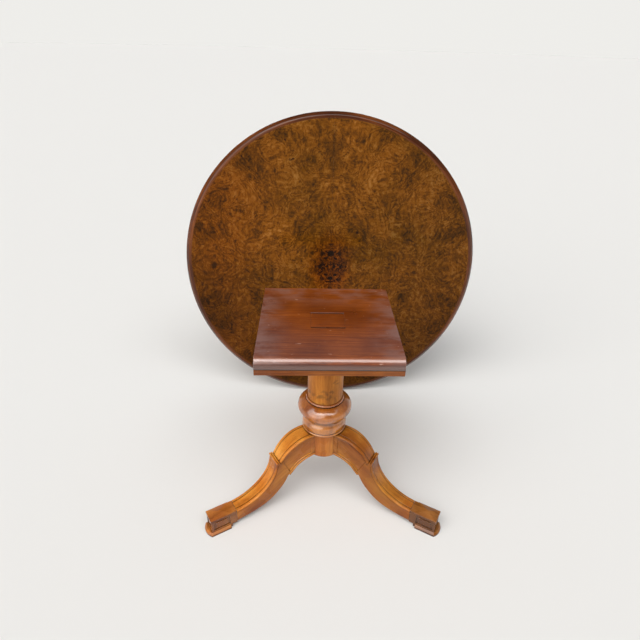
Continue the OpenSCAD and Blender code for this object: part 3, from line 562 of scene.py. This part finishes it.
def burr_walnut():
    material, coords = start_material("burr_walnut", TOP)
    flat = stretch(coords, (1, 1, 0))
    folded = vectors("ABSOLUTE", flat)
    loose = shifted(folded, noise(folded, 3.4, 3, 0.5, output=1), 0.22)
    curled = shifted(loose, noise(loose, 19, 4, 0.6, output=1), 0.045)
    free = shifted(flat, noise(flat, 9, 4, 0.6, output=1), 0.09)
    cloud = noise(curled, 9, 6, 0.62)
    whorl = noise(free, 52, 6, 0.68, 0.9)
    waves = sums("SINE", times(noise(curled, 6.5, 2, 0.4, 0.4), 120))
    ribbon = sums("ADD", times(waves, 0.5), 0.5)
    fibre = noise(stretch(free, (1, 0.4, 1)), 190, 3, 0.7)
    across, along = [noise(stretch(free, way), 80, 3, 0.65, 0.9) for way in ((1, 0.25, 1), (0.25, 1, 1))]
    lines = mix(slope(noise(loose, 4.5, 2, 0.5), 0.46, 0.54), across, along)
    tone = weighted((cloud, 0.30), (whorl, 0.26), (ribbon, 0.05), (lines, 0.24), (fibre, 0.15))
    colour = ramp(tone, [(0.41, BURR_DARK), (0.465, BURR_BROWN), (0.53, BURR_ORANGE), (0.61, BURR_PALE)])
    # The buds: small dark eyes that come in clusters
    eyes = add(material.node_tree, "ShaderNodeTexVoronoi", Vector=curled, Scale=95.0)
    clusters = slope(noise(loose, 12, 3, 0.6), 0.49, 0.60)
    colour = lay(colour, BURR_DARK, ramp(eyes, [(0.16, 1.0), (0.34, 0.0)]), clusters, 0.85)
    # Broad patches that aren't mirrored; painted shade on the lower half, and on the right side a little grey; a
    # warmer left side
    x, y, z = split(flat)
    patches = noise(flat, 2.6, 4, 0.55)
    for mask, shade in ((ramp(patches, [(0.38, 0.8), (0.56, 0.0)]), (0.56, 0.62, 0.50)),
                        (slope(y, 0.15, -0.55), (0.58, 0.54, 0.42)),
                        (slope(x, 0.05, 0.55), (0.74, 0.76, 0.85)),
                        (slope(x, -0.15, -0.50), (0.86, 0.74, 0.55))):
        colour = lay(colour, shade, mask, blend="MULTIPLY")
    # The seam is darker near the upper edge
    near_seam = slope(sums("ABSOLUTE", x), 14 * MM, 2 * MM)
    colour = lay(colour, BURR_DARK, near_seam, slope(y, 0.32, 0.40), slope(y, 0.585, 0.5), 0.6)
    heart, halo = star(folded, noise(flat, 17, 4, 0.6, output=1))
    colour = lay(colour, (1.0, 0.72, 0.55), halo, blend="MULTIPLY")
    colour = lay(colour, BURR_BLACK, sums("MAXIMUM", heart, knot_mask(free)))
    colour = darken_corners_lighten_edges(colour, BURR_DARK, BURR_PALE, dirt_and_shade_reach=3 * MM, dirt_and_shade_amount=0.5, edge_amount=0.0)
    roughness = ramp(patches, [(0.3, 0.24), (0.7, 0.36)])
    height = weighted((whorl, 0.6), (fibre, 0.4))
    return polish(material, colour, roughness, height, bump=0.05, gleam=0.04, coat=0.1)


burr_face = burr_walnut()

# %% [markdown]
# ## Red walnut for the moulded edge
# The edge is laid in lengths with the grain running round the table, so its coordinates are the way round the
# top, the distance from the middle and the height. Arctangent and square root give them.

# %% Red walnut edge
EDGE_WALNUT = ((0.040, 0.009, 0.001), (0.125, 0.030, 0.004), (0.22, 0.062, 0.010))
EDGE_WORN = (0.36, 0.15, 0.08)


def edge_walnut():
    material, coords = start_material("edge_walnut", TOP)
    x, y, z = split(coords)
    along = times(sums("ARCTAN2", y, x), top_r)
    radius = sums("SQRT", sums("ADD", times(x, x), times(y, y)))
    round_top = add(material.node_tree, "ShaderNodeCombineXYZ", X=along, Y=radius, Z=z)
    colour, height, slow = straight_grain(round_top, EDGE_WALNUT, bands=70, length=3.0)
    colour = darken_corners_lighten_edges(colour, CORNER_DIRT_AND_SHADE, EDGE_WORN, edge_amount=0.25)
    roughness = ramp(slow, [(0.3, 0.18), (0.7, 0.3)])
    return polish(material, colour, roughness, height, bump=0.08, gleam=0.05, coat=0.7, coat_roughness=0.07,
                  mirror=1.45)


edge_finish = edge_walnut()

# %% [markdown]
# ## Plain wood, brass and iron for what is out of sight
# The boards and bearers under the top were left from the plane and have only darkened with age. The bolts and
# the catch are brass that has toned down, and the screws are iron.

# %% Plain wood and metals
PINE = ((0.20, 0.095, 0.038), (0.36, 0.19, 0.085), (0.46, 0.27, 0.13))
PINE_DIRT_AND_SHADE = (0.05, 0.03, 0.015)
PINE_WORN = (0.5, 0.32, 0.17)
BEARER = ((0.10, 0.034, 0.016), (0.22, 0.085, 0.038), (0.31, 0.13, 0.062))
BEARER_WORN = (0.4, 0.2, 0.11)


def bare_wood(name, place, wood, dirt_and_shade, edge_colour, roughness, bump, **grain):
    material, coords = start_material(name, place)
    colour, height, slow = straight_grain(coords, wood, **grain)
    return polish(material, darken_corners_lighten_edges(colour, dirt_and_shade, edge_colour), roughness, height, bump, coat=0.0)


def old_metal(name, bright, dull, roughness):
    material, coords = start_material(name)
    tarnish = noise(coords, 60, 5, 0.6)
    colour = lay(bright, dull, ramp(tarnish, [(0.4, 0.0), (0.62, 1.0)]))
    colour = darken_corners_lighten_edges(colour, tuple(c * 0.3 for c in dull), bright, 3 * MM, 1 * MM)
    set_surface(material, Metallic=1.0)
    rough = ramp(tarnish, [(0.35, roughness), (0.7, roughness + 0.25)])
    return polish(material, colour, rough, tarnish, coat=0.0)


pine = bare_wood("bare_pine", TOP, PINE, PINE_DIRT_AND_SHADE, PINE_WORN, 0.72, 0.5, bands=34, length=1.2, pores=0.15)
bearer_wood = bare_wood("bearer_mahogany", TOP @ turn(90, "Z"), BEARER, CORNER_DIRT_AND_SHADE, BEARER_WORN, 0.58, 0.4,
                        bands=48, length=2.0)
aged_brass = old_metal("aged_brass", (0.62, 0.44, 0.17), (0.26, 0.17, 0.07), 0.28)
dull_iron = old_metal("dull_iron", (0.30, 0.29, 0.28), (0.12, 0.09, 0.07), 0.5)
print("finishes:", len(bpy.data.materials))

# %% [markdown]
# ## From a bmesh to a piece
# Every new piece ends in the same way: doubles are merged, normals are turned outwards, and the mesh is
# carried from the bench to its place, so that its object stays at the origin. Weighted normals let the large
# faces rule the small ones, so that a flat board with rounded edges still looks flat. The piece rides on the
# body of the node it replaces. The other helpers draw a curve, spin it, cut, pull and ease.

# %% Piece helpers
def body_of(node):
    bodies = frame["record"]["behaviour"]["bodies"]
    return next(body for body, members in bodies.items() if node in members)


def make_piece(name, bm, place, material, node, sharp=38):
    """Turns a bmesh into a finished piece that stands for a node."""
    bmesh.ops.remove_doubles(bm, verts=bm.verts, dist=0.001 * MM)
    bmesh.ops.recalc_face_normals(bm, faces=bm.faces)
    bm.transform(place)
    mesh = bpy.data.meshes.new(name)
    bm.to_mesh(mesh)
    bm.free()
    mesh.shade_smooth()
    mesh.set_sharp_from_angle(angle=math.radians(sharp))
    mesh.materials.append(material)
    piece = put_in_scene(name, mesh)
    piece.modifiers.new("flat_faces_stay_flat", "WEIGHTED_NORMAL").keep_sharp = True
    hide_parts(node)
    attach(piece, body_of(node))
    return piece


def arc(middle, across, up, start, end, steps):
    """Points on part of an ellipse, from one angle to another, in degrees."""
    angles = [math.radians(start + (end - start) * k / steps) for k in range(steps + 1)]
    return [(middle[0] + across * math.cos(angle), middle[1] + up * math.sin(angle)) for angle in angles]


def smooth(points, steps):
    """A smooth curve through some points."""
    points = [Vector(point) for point in points]
    padded = points[:1] + points + points[-1:]
    curve = []
    for a, b, c, d in zip(padded, padded[1:], padded[2:], padded[3:]):
        for k in range(steps):
            u = k / steps
            curve.append(0.5 * (2 * b + (c - a) * u + (2 * a - 5 * b + 4 * c - d) * u ** 2
                                + (3 * b - a - 3 * c + d) * u ** 3))
    return curve + points[-1:]


def outline_edges(bm, points, closed=True):
    """Draws an outline of (radius, height) points in the x-z plane, ready to spin."""
    verts = [bm.verts.new((x, 0, z)) for x, z in points]
    pairs = list(zip(verts, verts[1:])) + ([(verts[-1], verts[0])] if closed else [])
    return verts + [bm.edges.new(pair) for pair in pairs]


def turned(points, closed=True):
    """Spins an outline all the way round the z axis, as a lathe would."""
    bm = bmesh.new()
    outline = outline_edges(bm, points, closed)
    bmesh.ops.spin(bm, geom=outline, axis=(0, 0, 1), cent=(0, 0, 0), angle=math.tau, steps=144,
                   use_merge=True)
    return bm


def cuboid(size, middle):
    """A cuboid of a given size round a given point."""
    bm = bmesh.new()
    bmesh.ops.create_cube(bm, size=1)
    bmesh.ops.scale(bm, verts=bm.verts, vec=size)
    bmesh.ops.translate(bm, verts=bm.verts, vec=middle)
    return bm


def cut(bm, place, normal, drop=True):
    """Cuts a shape along a plane, and drops what lies in front of it."""
    everything = bm.verts[:] + bm.edges[:] + bm.faces[:]
    bmesh.ops.bisect_plane(bm, geom=everything, plane_co=place, plane_no=normal, clear_outer=drop)


def pull(bm, way):
    """Pulls a flat shape into a solid."""
    pulled = bmesh.ops.extrude_face_region(bm, geom=bm.faces[:])
    moved = [item for item in pulled["geom"] if isinstance(item, bmesh.types.BMVert)]
    bmesh.ops.translate(bm, verts=moved, vec=way)


def turn_mesh(bm, angle):
    """Turns a shape about the z axis, by an angle in radians."""
    bmesh.ops.rotate(bm, verts=bm.verts, matrix=Matrix.Rotation(angle, 3, "Z"))


def soften(bm, width, least=25, segments=2):
    """Rounds every sharp edge of a closed shape a little, as a scraper does."""
    sharp = [edge for edge in bm.edges
             if len(edge.link_faces) == 2 and edge.calc_face_angle(0) > math.radians(least)]
    bmesh.ops.bevel(bm, geom=sharp, offset=width, offset_type="OFFSET", segments=segments, profile=0.5,
                    affect="EDGES", clamp_overlap=True, material=-1)


# %% [markdown]
# ## The four leaves of burr veneer
# A leaf is a quarter of a disc, a millimetre and a half thick. We cap a circle, cut away three quarters with
# bisect_plane, and pull the rest down. Softening the upper edges leaves the hairline that shows where two
# leaves meet.

# %% Make the veneers
PLAY = 0.1 * MM


def disc():
    """A flat disc as large as the field inside the rim, less a little play."""
    bm = bmesh.new()
    bmesh.ops.create_circle(bm, cap_ends=True, segments=360, radius=field_r - PLAY)
    return bm


def quarter_leaf(number):
    bm = disc()
    for normal in ((-1, 0, 0), (0, -1, 0)):
        cut(bm, (PLAY / 2, PLAY / 2, 0), normal)
    pull(bm, (0, 0, -veneer_t))
    soften(bm, 0.15 * MM, least=60, segments=1)
    turn_mesh(bm, number * math.pi / 2)
    return bm


for number, node in enumerate(VENEERS):
    make_piece(f"burr_{node}", quarter_leaf(number), TOP, burr_face, node)
print("veneer leaves:", len(VENEERS))

# %% [markdown]
# ## The moulded edge
# One outline serves all eight lengths. Its upper side is flat beside the veneer and then slopes away evenly,
# and this slope is what catches one clean line of light. Below the widest line it rounds back quickly, and a
# tongue runs into the boards. Spinning it through an eighth of a turn gives one length.

# %% Make the edge
rim_w = top_r - field_r
rim_t = 26 * MM
rim_gap = math.radians(0.005)
tongue_l = 8 * MM
tongue_h = 6 * MM
board_t = 20.5 * MM
# How far out from the veneer and how far above its face the upper side runs, in millimetres
RIM_UPPER = [(23.8, -15.0), (23.1, -13.1), (21.0, -10.8), (18.0, -7.9), (15.0, -5.1), (12.0, -2.5),
             (9.0, -0.9), (5.0, -0.2), (1.0, 0)]


def edge_outline():
    tongue_z = -(veneer_t + board_t) / 2
    return ([(field_r, -rim_t)]
            + arc((top_r - rim_w / 2, -rim_t / 2), rim_w / 2, rim_t / 2, -90, -12, 14)
            + smooth([(field_r + out * MM, rise * MM) for out, rise in RIM_UPPER], 4)
            + [(field_r, 0), (field_r, tongue_z + tongue_h / 2),
               (field_r - tongue_l, tongue_z + tongue_h / 2), (field_r - tongue_l, tongue_z - tongue_h / 2),
               (field_r, tongue_z - tongue_h / 2)])


def edge_length(number):
    bm = bmesh.new()
    outline = outline_edges(bm, edge_outline())
    turn_mesh(bm, rim_gap)
    drawn = [item for item in outline if isinstance(item, bmesh.types.BMEdge)]
    first = bmesh.ops.contextual_create(bm, geom=drawn)
    bmesh.ops.spin(bm, geom=first["faces"], axis=(0, 0, 1), cent=(0, 0, 0),
                   angle=math.tau / len(RIMS) - 2 * rim_gap, steps=48)
    turn_mesh(bm, number * math.tau / len(RIMS))
    return bm


for number, node in enumerate(RIMS):
    make_piece(f"edge_{node}", edge_length(number), TOP, edge_finish, node)
print("lengths of the edge:", len(RIMS))

# %% [markdown]
# ## The boards under the top
# Nobody looks here until the top is lifted off, as it is now. Four boards make the ground for the veneer.
# Each is a slice of the same disc, with its long edges eased so that the joints can be seen from behind.

# %% Make the boards
BOARDS = [f"top_board_{i + 1}" for i in range(4)]


def board(number):
    bm = disc()
    width = 2 * field_r / len(BOARDS)
    low = -field_r + number * width + PLAY
    cut(bm, (0, low, 0), (0, -1, 0))
    cut(bm, (0, low + width - 2 * PLAY, 0), (0, 1, 0))
    bmesh.ops.translate(bm, verts=bm.verts, vec=(0, 0, -veneer_t))
    pull(bm, (0, 0, -board_t))
    soften(bm, 0.6 * MM, least=60)
    return bm


for number, node in enumerate(BOARDS):
    make_piece(f"ground_{node}", board(number), TOP, pine, node)

# %% [markdown]
# ## The block
# Two boards, one over the other, with a mortise through both. A cube is cut by four planes, so that its top
# and its bottom each have a face as large as the mortise. Both are deleted and the two loops are bridged,
# which makes a clean hole. A wide bevel rounds the front edge, and a narrow one eases the rest.

# %% Make the block
tenon_w = 104 * MM
tenon_d = 84 * MM
wedge_t = 5 * MM


def holed_board(node):
    """A board that fills the node's box, with the mortise through it."""
    low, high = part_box(node)
    bm = cuboid(high - low, (low + high) / 2 - Vector((axis.x, axis.y, 0)))
    for half, way in ((tenon_w / 2 + PLAY, Vector((1, 0, 0))), (tenon_d / 2 + wedge_t, Vector((0, 1, 0)))):
        cut(bm, way * half, way, drop=False)
        cut(bm, way * -half, way, drop=False)
    centre = [face for face in bm.faces
              if abs(face.normal.z) > 0.9 and face.calc_center_median().to_2d().length < 5 * MM]
    rims = [edge for face in centre for edge in face.edges]
    bmesh.ops.delete(bm, geom=centre, context="FACES_ONLY")
    bmesh.ops.bridge_loops(bm, edges=rims)
    return bm


def round_front(bm, top_z, front_y):
    """Bevels the front upper edge to the nose's radius."""
    nose = [edge for edge in bm.edges
            if all(max(abs(v.co.z - top_z), abs(v.co.y - front_y)) < PLAY for v in edge.verts)]
    bmesh.ops.bevel(bm, geom=nose, offset=nose_r, offset_type="OFFSET", segments=20, profile=0.5,
                    affect="EDGES", material=-1)


upper = holed_board("block_upper_board")
round_front(upper, board_high.z, board_low.y - axis.y)
soften(upper, 1.0 * MM, least=50)
make_piece("block_face_board", upper, BASE, mahogany_red, "block_upper_board")
lower = holed_board("block_lower_board")
soften(lower, 1.2 * MM, least=50)
make_piece("block_under_board", lower, BASE, mahogany_strip, "block_lower_board")

# %% [markdown]
# ## The column and its rings
# All of it came off a lathe, so all of it is spun. The column runs down inside the rings as a spigot, and up
# through the block as a tenon. The rings are bored to slide over the spigot. Their outlines are smooth curves
# through a few points: the upper ring slopes away under its bead and is widest low down, and a neck parts it
# from the torus, painted dark there as shade.

# %% Make the turned pieces
column_r = 59 * MM
spigot_r = 34 * MM
ring_low, ring_high = span("upper_ring")
torus_low, torus_high = span("lower_ring")
block_z = span("block_lower_board")[0].z
knop_r = (ring_high.x - ring_low.x) / 2
torus_r = (torus_high.x - torus_low.x) / 2
waist_z = ring_low.z
shaft_z = ring_high.z
hub_top = torus_low.z
bead_h = 10 * MM
bead_out = 5.5 * MM
# How far in from a ring's widest line, and how far above the joint between the rings or above the hub
KNOP = [(24.3, 0), (24.0, 3), (21.5, 5.6), (17.0, 6.2), (13.0, 7.6), (8.6, 11.8), (4.2, 18.0), (1.3, 24.8),
        (0, 31), (0.8, 36.8), (3.2, 42.4), (7.2, 47.8), (12.4, 52.8), (18.0, 57.2), (23.4, 61.0), (27.5, 63)]
TORUS = [(4.4, 0), (0.8, 1.2), (0, 4.6), (1.6, 7.4), (4.2, 8.8), (2.4, 10.4), (0.6, 14.0), (0, 20.0),
         (0.2, 25.5), (1.4, 31.5), (3.6, 36.2), (6.2, 40.2), (7.6, 44.0), (7.6, 49.0), (7.0, 55)]
hub_round = 8 * MM
hub_r = (hub_high.x - hub_low.x) / 2


def ring_curve(shape, radius, foot):
    """The outside of a ring, from its foot upwards."""
    return smooth([(radius - inwards * MM, foot + rise * MM) for inwards, rise in shape], 5)


def tenon():
    """The end of the column that comes up through the block."""
    bm = cuboid((tenon_w, tenon_d, board_high.z - block_z), (0, 0, (board_high.z + block_z) / 2))
    soften(bm, 0.15 * MM, least=60)
    return bm


column = [(0, hub_low.z + hub_round), (spigot_r, hub_low.z + hub_round), (spigot_r, shaft_z),
          (column_r, shaft_z), (column_r, block_z), (0, block_z)]
bead = arc((column_r, shaft_z - bead_h / 2), bead_out, bead_h / 2, -90, 90, 12)
knop = [(spigot_r, waist_z), *ring_curve(KNOP, knop_r, waist_z), *bead, (spigot_r, shaft_z)]
torus = [(spigot_r, hub_top), *ring_curve(TORUS, torus_r, hub_top), (spigot_r, waist_z)]
hub_edge = arc((hub_r - hub_round, hub_low.z + hub_round), hub_round, hub_round, -90, 0, 8)
hub = [(0, hub_low.z), *hub_edge, (hub_r, hub_top), (0, hub_top)]
make_piece("turned_column", turned(column, closed=False), BASE, column_walnut, "column")
make_piece("column_tenon", tenon(), BASE, mahogany_red, "column")
make_piece("knop_ring", turned(knop), BASE, ring_walnut, "upper_ring")
make_piece("torus_ring", turned(torus), BASE, ring_walnut, "lower_ring")
make_piece("turned_hub", turned(hub, closed=False), BASE, hub_walnut, "hub")
print("knop", round(knop_r, 4), "torus", round(torus_r, 4), "hub", round(hub_r, 4))

# %% [markdown]
# ## The legs
# Each leg is one S-shaped plank with moulded edges, worked in two halves that meet at the knee. We draw the
# section of a half once: a fine groove beside each upper edge leaves a bead on the edge, and the side below
# it is sunk. Then we extrude the section from station to station along the curve, and at each station lay it
# out again between the upper and the lower outline. Every vertex carries its place in the section, so that it
# knows where to go.

# %% Make the legs
THIGH_TOP = [(0, 1), (0.21, 0.995), (0.385, 0.945), (0.545, 0.82), (0.69, 0.655), (0.85, 0.39), (1, 0)]
SHIN_TOP = [(0, 1), (0.018, 0.86), (0.045, 0.73), (0.09, 0.62), (0.155, 0.5), (0.255, 0.37), (0.39, 0.245),
            (0.52, 0.155), (0.655, 0.085), (0.82, 0.03), (1, 0)]
THIGH_UNDER = [(0, 1), (0.33, 0.9), (0.64, 0.68), (0.83, 0.33), (1, 0)]
SHIN_UNDER = [(0, 1), (0.1, 0.7), (0.27, 0.405), (0.44, 0.215), (0.62, 0.11), (0.8, 0.045), (1, 0)]
ROOT_IN = 0.050
ROOT_TOP = 0.280
ROOT_UNDER = 0.186
KNEE = (0.189, 0.209)
KNEE_UNDER = (0.151, 0.131)
LAP = (0.187, 0.2055)
LAP_UNDER = (0.147, 0.136)
LEDGE = (0.2008, 0.2085)
LEDGE_UNDER = (0.1565, 0.1310)
ANKLE = (0.353, 0.068)
ANKLE_UNDER = (0.353, 0.016)
# Widths in millimetres. The thigh narrows in its outer half, the shin all the way
THIGH_WIDTH = 70
THIGH_NARROWS = 9
SHIN_WIDTH = 60.4
SHIN_NARROWS = 7.4
BAND_WIDTH = 62
# Shares of the thigh's length: flat to the first, sunk between the middle two, flat again from the last
FLAT_TO = 0.04
SUNK_FROM = 0.055
SUNK_TO = 0.92
FLAT_FROM = 0.935

# The section's edge, in millimetres: how far in from the side, and how far down from the top or up from the
# bottom
UPPER_EDGE = [(14.2, 0), (13.0, 1.4), (12.2, 3.2), (11.2, 1.2), (10.0, 0.2), (5.8, 0), (3.4, 0.4), (1.6, 1.6),
              (0.5, 3.2), (0, 5.0), (0.2, 6.8), (1.4, 8.4), (5.0, 9.6), (2.6, 11.8)]
LOWER_EDGE = [(2.6, 11.0), (4.8, 9.4), (1.4, 8.0), (0.3, 6.6), (0, 4.8), (0.5, 2.4), (2.0, 0.7), (4.0, 0)]
PLAIN_EDGE = [(2.6, 7.0), (2.7, 4.0), (3.2, 1.8), (4.4, 0.5), (6.5, 0)]
SIDE_IN = 2.6
PANEL_FROM = 15.5
PANEL_SLOPE = 1.4
PANEL_DEPTH = 3.0
# Two beads across the knee, with a groove before and between them
BAND_TOP = [(0.1886, 0.2062), (0.1892, 0.2090), (0.1908, 0.2108), (0.1930, 0.2115), (0.1950, 0.2108),
            (0.1961, 0.2086), (0.1972, 0.2106), (0.1990, 0.2112), (0.2006, 0.2104), (0.2015, 0.2086),
            (0.2016, 0.2060)]
BAND_UNDER = [(0.2004, 0.2010), (0.1886, 0.2010)]


def smooth_run(run, start, end):
    """A smooth curve between two ends, through shares of the reach and of the drop."""
    return smooth([(start[0] + (end[0] - start[0]) * reach, end[1] + (start[1] - end[1]) * drop)
                   for reach, drop in run], 6)


def at_share(curve, share):
    """The point that lies at a share of a curve's length."""
    lengths = [(q - p).length for p, q in zip(curve, curve[1:])]
    left = share * sum(lengths)
    for p, q, length in zip(curve, curve[1:], lengths):
        if left <= length:
            return p.lerp(q, left / length)
        left -= length
    return curve[-1].copy()


def leg_section(top, under, width, panel):
    """The section's corners between a point of the upper outline and one of the lower."""
    down = under - top
    depth = down.length / MM
    lower = PLAIN_EDGE if panel is None else LOWER_EDGE
    side = list(UPPER_EDGE)
    if panel is not None:
        sunk = SIDE_IN + PANEL_DEPTH * panel
        side += [(SIDE_IN, PANEL_FROM), (sunk, PANEL_FROM + PANEL_SLOPE),
                 (sunk, depth - PANEL_FROM - PANEL_SLOPE), (SIDE_IN, depth - PANEL_FROM)]
    side += [(inwards, depth - rise) for inwards, rise in lower]
    right = [(width / 2 - inwards * MM, drop / depth) for inwards, drop in side]
    left = [(-across, share) for across, share in reversed(right)]
    return [Vector((top.x + down.x * share, across, top.y + down.y * share))
            for across, share in right + left]


def sweep(stations):
    """Extrudes the section along a list of (top, under, width, panel)."""
    bm = bmesh.new()
    place = bm.verts.layers.int.new("place")
    for number, corner in enumerate(leg_section(*stations[0])):
        bm.verts.new(corner)[place] = number
    ring = bm.verts[:]
    for pair in zip(ring, ring[1:] + ring[:1]):
        bm.edges.new(pair)
    end = bmesh.ops.contextual_create(bm, geom=bm.edges[:])["faces"][0]
    for number, station in enumerate(stations[1:]):
        pulled = bmesh.ops.extrude_face_region(bm, geom=[end])["geom"]
        if number > 0:
            bmesh.ops.delete(bm, geom=[end], context="FACES_ONLY")
        end = next(item for item in pulled if isinstance(item, bmesh.types.BMFace))
        section = leg_section(*station)
        for vert in end.verts:
            vert.co = section[vert[place]]
    return bm


def thigh():
    top = smooth_run(THIGH_TOP, (hub_r, ROOT_TOP), KNEE)
    under = smooth_run(THIGH_UNDER, (hub_r, ROOT_UNDER), KNEE_UNDER)
    stations = [(Vector((ROOT_IN, ROOT_TOP)), Vector((ROOT_IN, ROOT_UNDER)), THIGH_WIDTH * MM, 0.0)]
    sunk = [SUNK_FROM + (SUNK_TO - SUNK_FROM) * k / 19 for k in range(20)]
    for share in [0.0, FLAT_TO, *sunk, FLAT_FROM, 1.0]:
        width = (THIGH_WIDTH - THIGH_NARROWS * max(share * 2 - 1, 0)) * MM
        panel = 1.0 if share in sunk else 0.0
        stations.append((at_share(top, share), at_share(under, share), width, panel))
    return sweep(stations)


def shin():
    top = smooth_run(SHIN_TOP, LEDGE, ANKLE)
    under = smooth_run(SHIN_UNDER, LEDGE_UNDER, ANKLE_UNDER)
    stations = [(Vector(LAP), Vector(LAP_UNDER), SHIN_WIDTH * MM, None)]
    for share in [0.0, 0.01, 0.03, 0.06, 0.09] + [0.09 + 0.91 * k / 24 for k in range(1, 25)]:
        width = (SHIN_WIDTH - SHIN_NARROWS * share) * MM
        stations.append((at_share(top, share), at_share(under, share), width, None))
    return sweep(stations)


def knee_band():
    """The moulding that crosses the leg at the knee."""
    bm = bmesh.new()
    outline_edges(bm, smooth(BAND_TOP, 3) + BAND_UNDER)
    bmesh.ops.contextual_create(bm, geom=bm.edges[:])
    bmesh.ops.translate(bm, verts=bm.verts, vec=(0, -BAND_WIDTH * MM / 2, 0))
    pull(bm, (0, BAND_WIDTH * MM, 0))
    soften(bm, 0.6 * MM, least=60)
    return bm


for side in LEG_ANGLES:
    for part, shape in (("thigh", thigh), ("shin", shin), ("knee_band", knee_band)):
        make_piece(f"{part}_{side}", shape(), leg_place(side), leg_walnut[side], f"leg_{side}", sharp=30)
print("legs:", len(LEG_ANGLES))

# %% [markdown]
# ## The feet
# The feet are right in the frame, with their caps, plinths and sunk panels. What they lack is age: every
# arris on the real ones is rubbed round. A node's mesh is loose triangles, so we take a copy, merge it, join
# the flat triangles into whole faces, and then bevel what is left.

# %% Make the feet
def node_copy(node):
    """A copy of a node's mesh."""
    bm = bmesh.new()
    bm.from_mesh(frame["nodes"][node].data)
    return bm


def eased_copy(node, width, least=22):
    """A merged copy of a node with its edges rubbed round."""
    bm = node_copy(node)
    bmesh.ops.remove_doubles(bm, verts=bm.verts, dist=0.02 * MM)
    bmesh.ops.dissolve_limit(bm, angle_limit=math.radians(0.5), verts=bm.verts, edges=bm.edges)
    soften(bm, width, least)
    return bm


for side in LEG_ANGLES:
    make_piece(f"block_foot_{side}", eased_copy(f"foot_{side}", 0.8 * MM), Matrix(), foot_walnut[side],
               f"foot_{side}", sharp=16)

# %% [markdown]
# ## The catch's spring
# The spring shortens as the catch bolt is drawn back, so it is a piece of its own. Its upper end bears on the
# case and stays, and its lower end follows the shoulder of the bolt.

# %% Make the spring
coil = make_piece("coil_spring", node_copy("catch_spring"), Matrix(), dull_iron, "catch_spring", sharp=80)
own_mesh(coil)

# %% [markdown]
# ## Finishes for the pieces that keep their shape
# The bearers, wedges, screws, bolts and the rest of the catch stay as they are in the frame. Each gets the
# finish of its kind.

# %% Finish the rest
KEPT = {
    "bearer_left": bearer_wood, "bearer_right": bearer_wood, "tenon_wedges": wedge_end_grain_and_shade,
    "block_screws": dull_iron, "bearer_screws": dull_iron,
    "striker_plate": aged_brass, "striker_screws": aged_brass, "pivot_bolts": aged_brass,
    "catch_case": aged_brass, "catch_screws": aged_brass, "catch_bolt": aged_brass,
}
for node, material in KEPT.items():
    data = frame["nodes"][node].data
    data.materials.clear()
    data.materials.append(material)
print("finished in place:", len(KEPT))
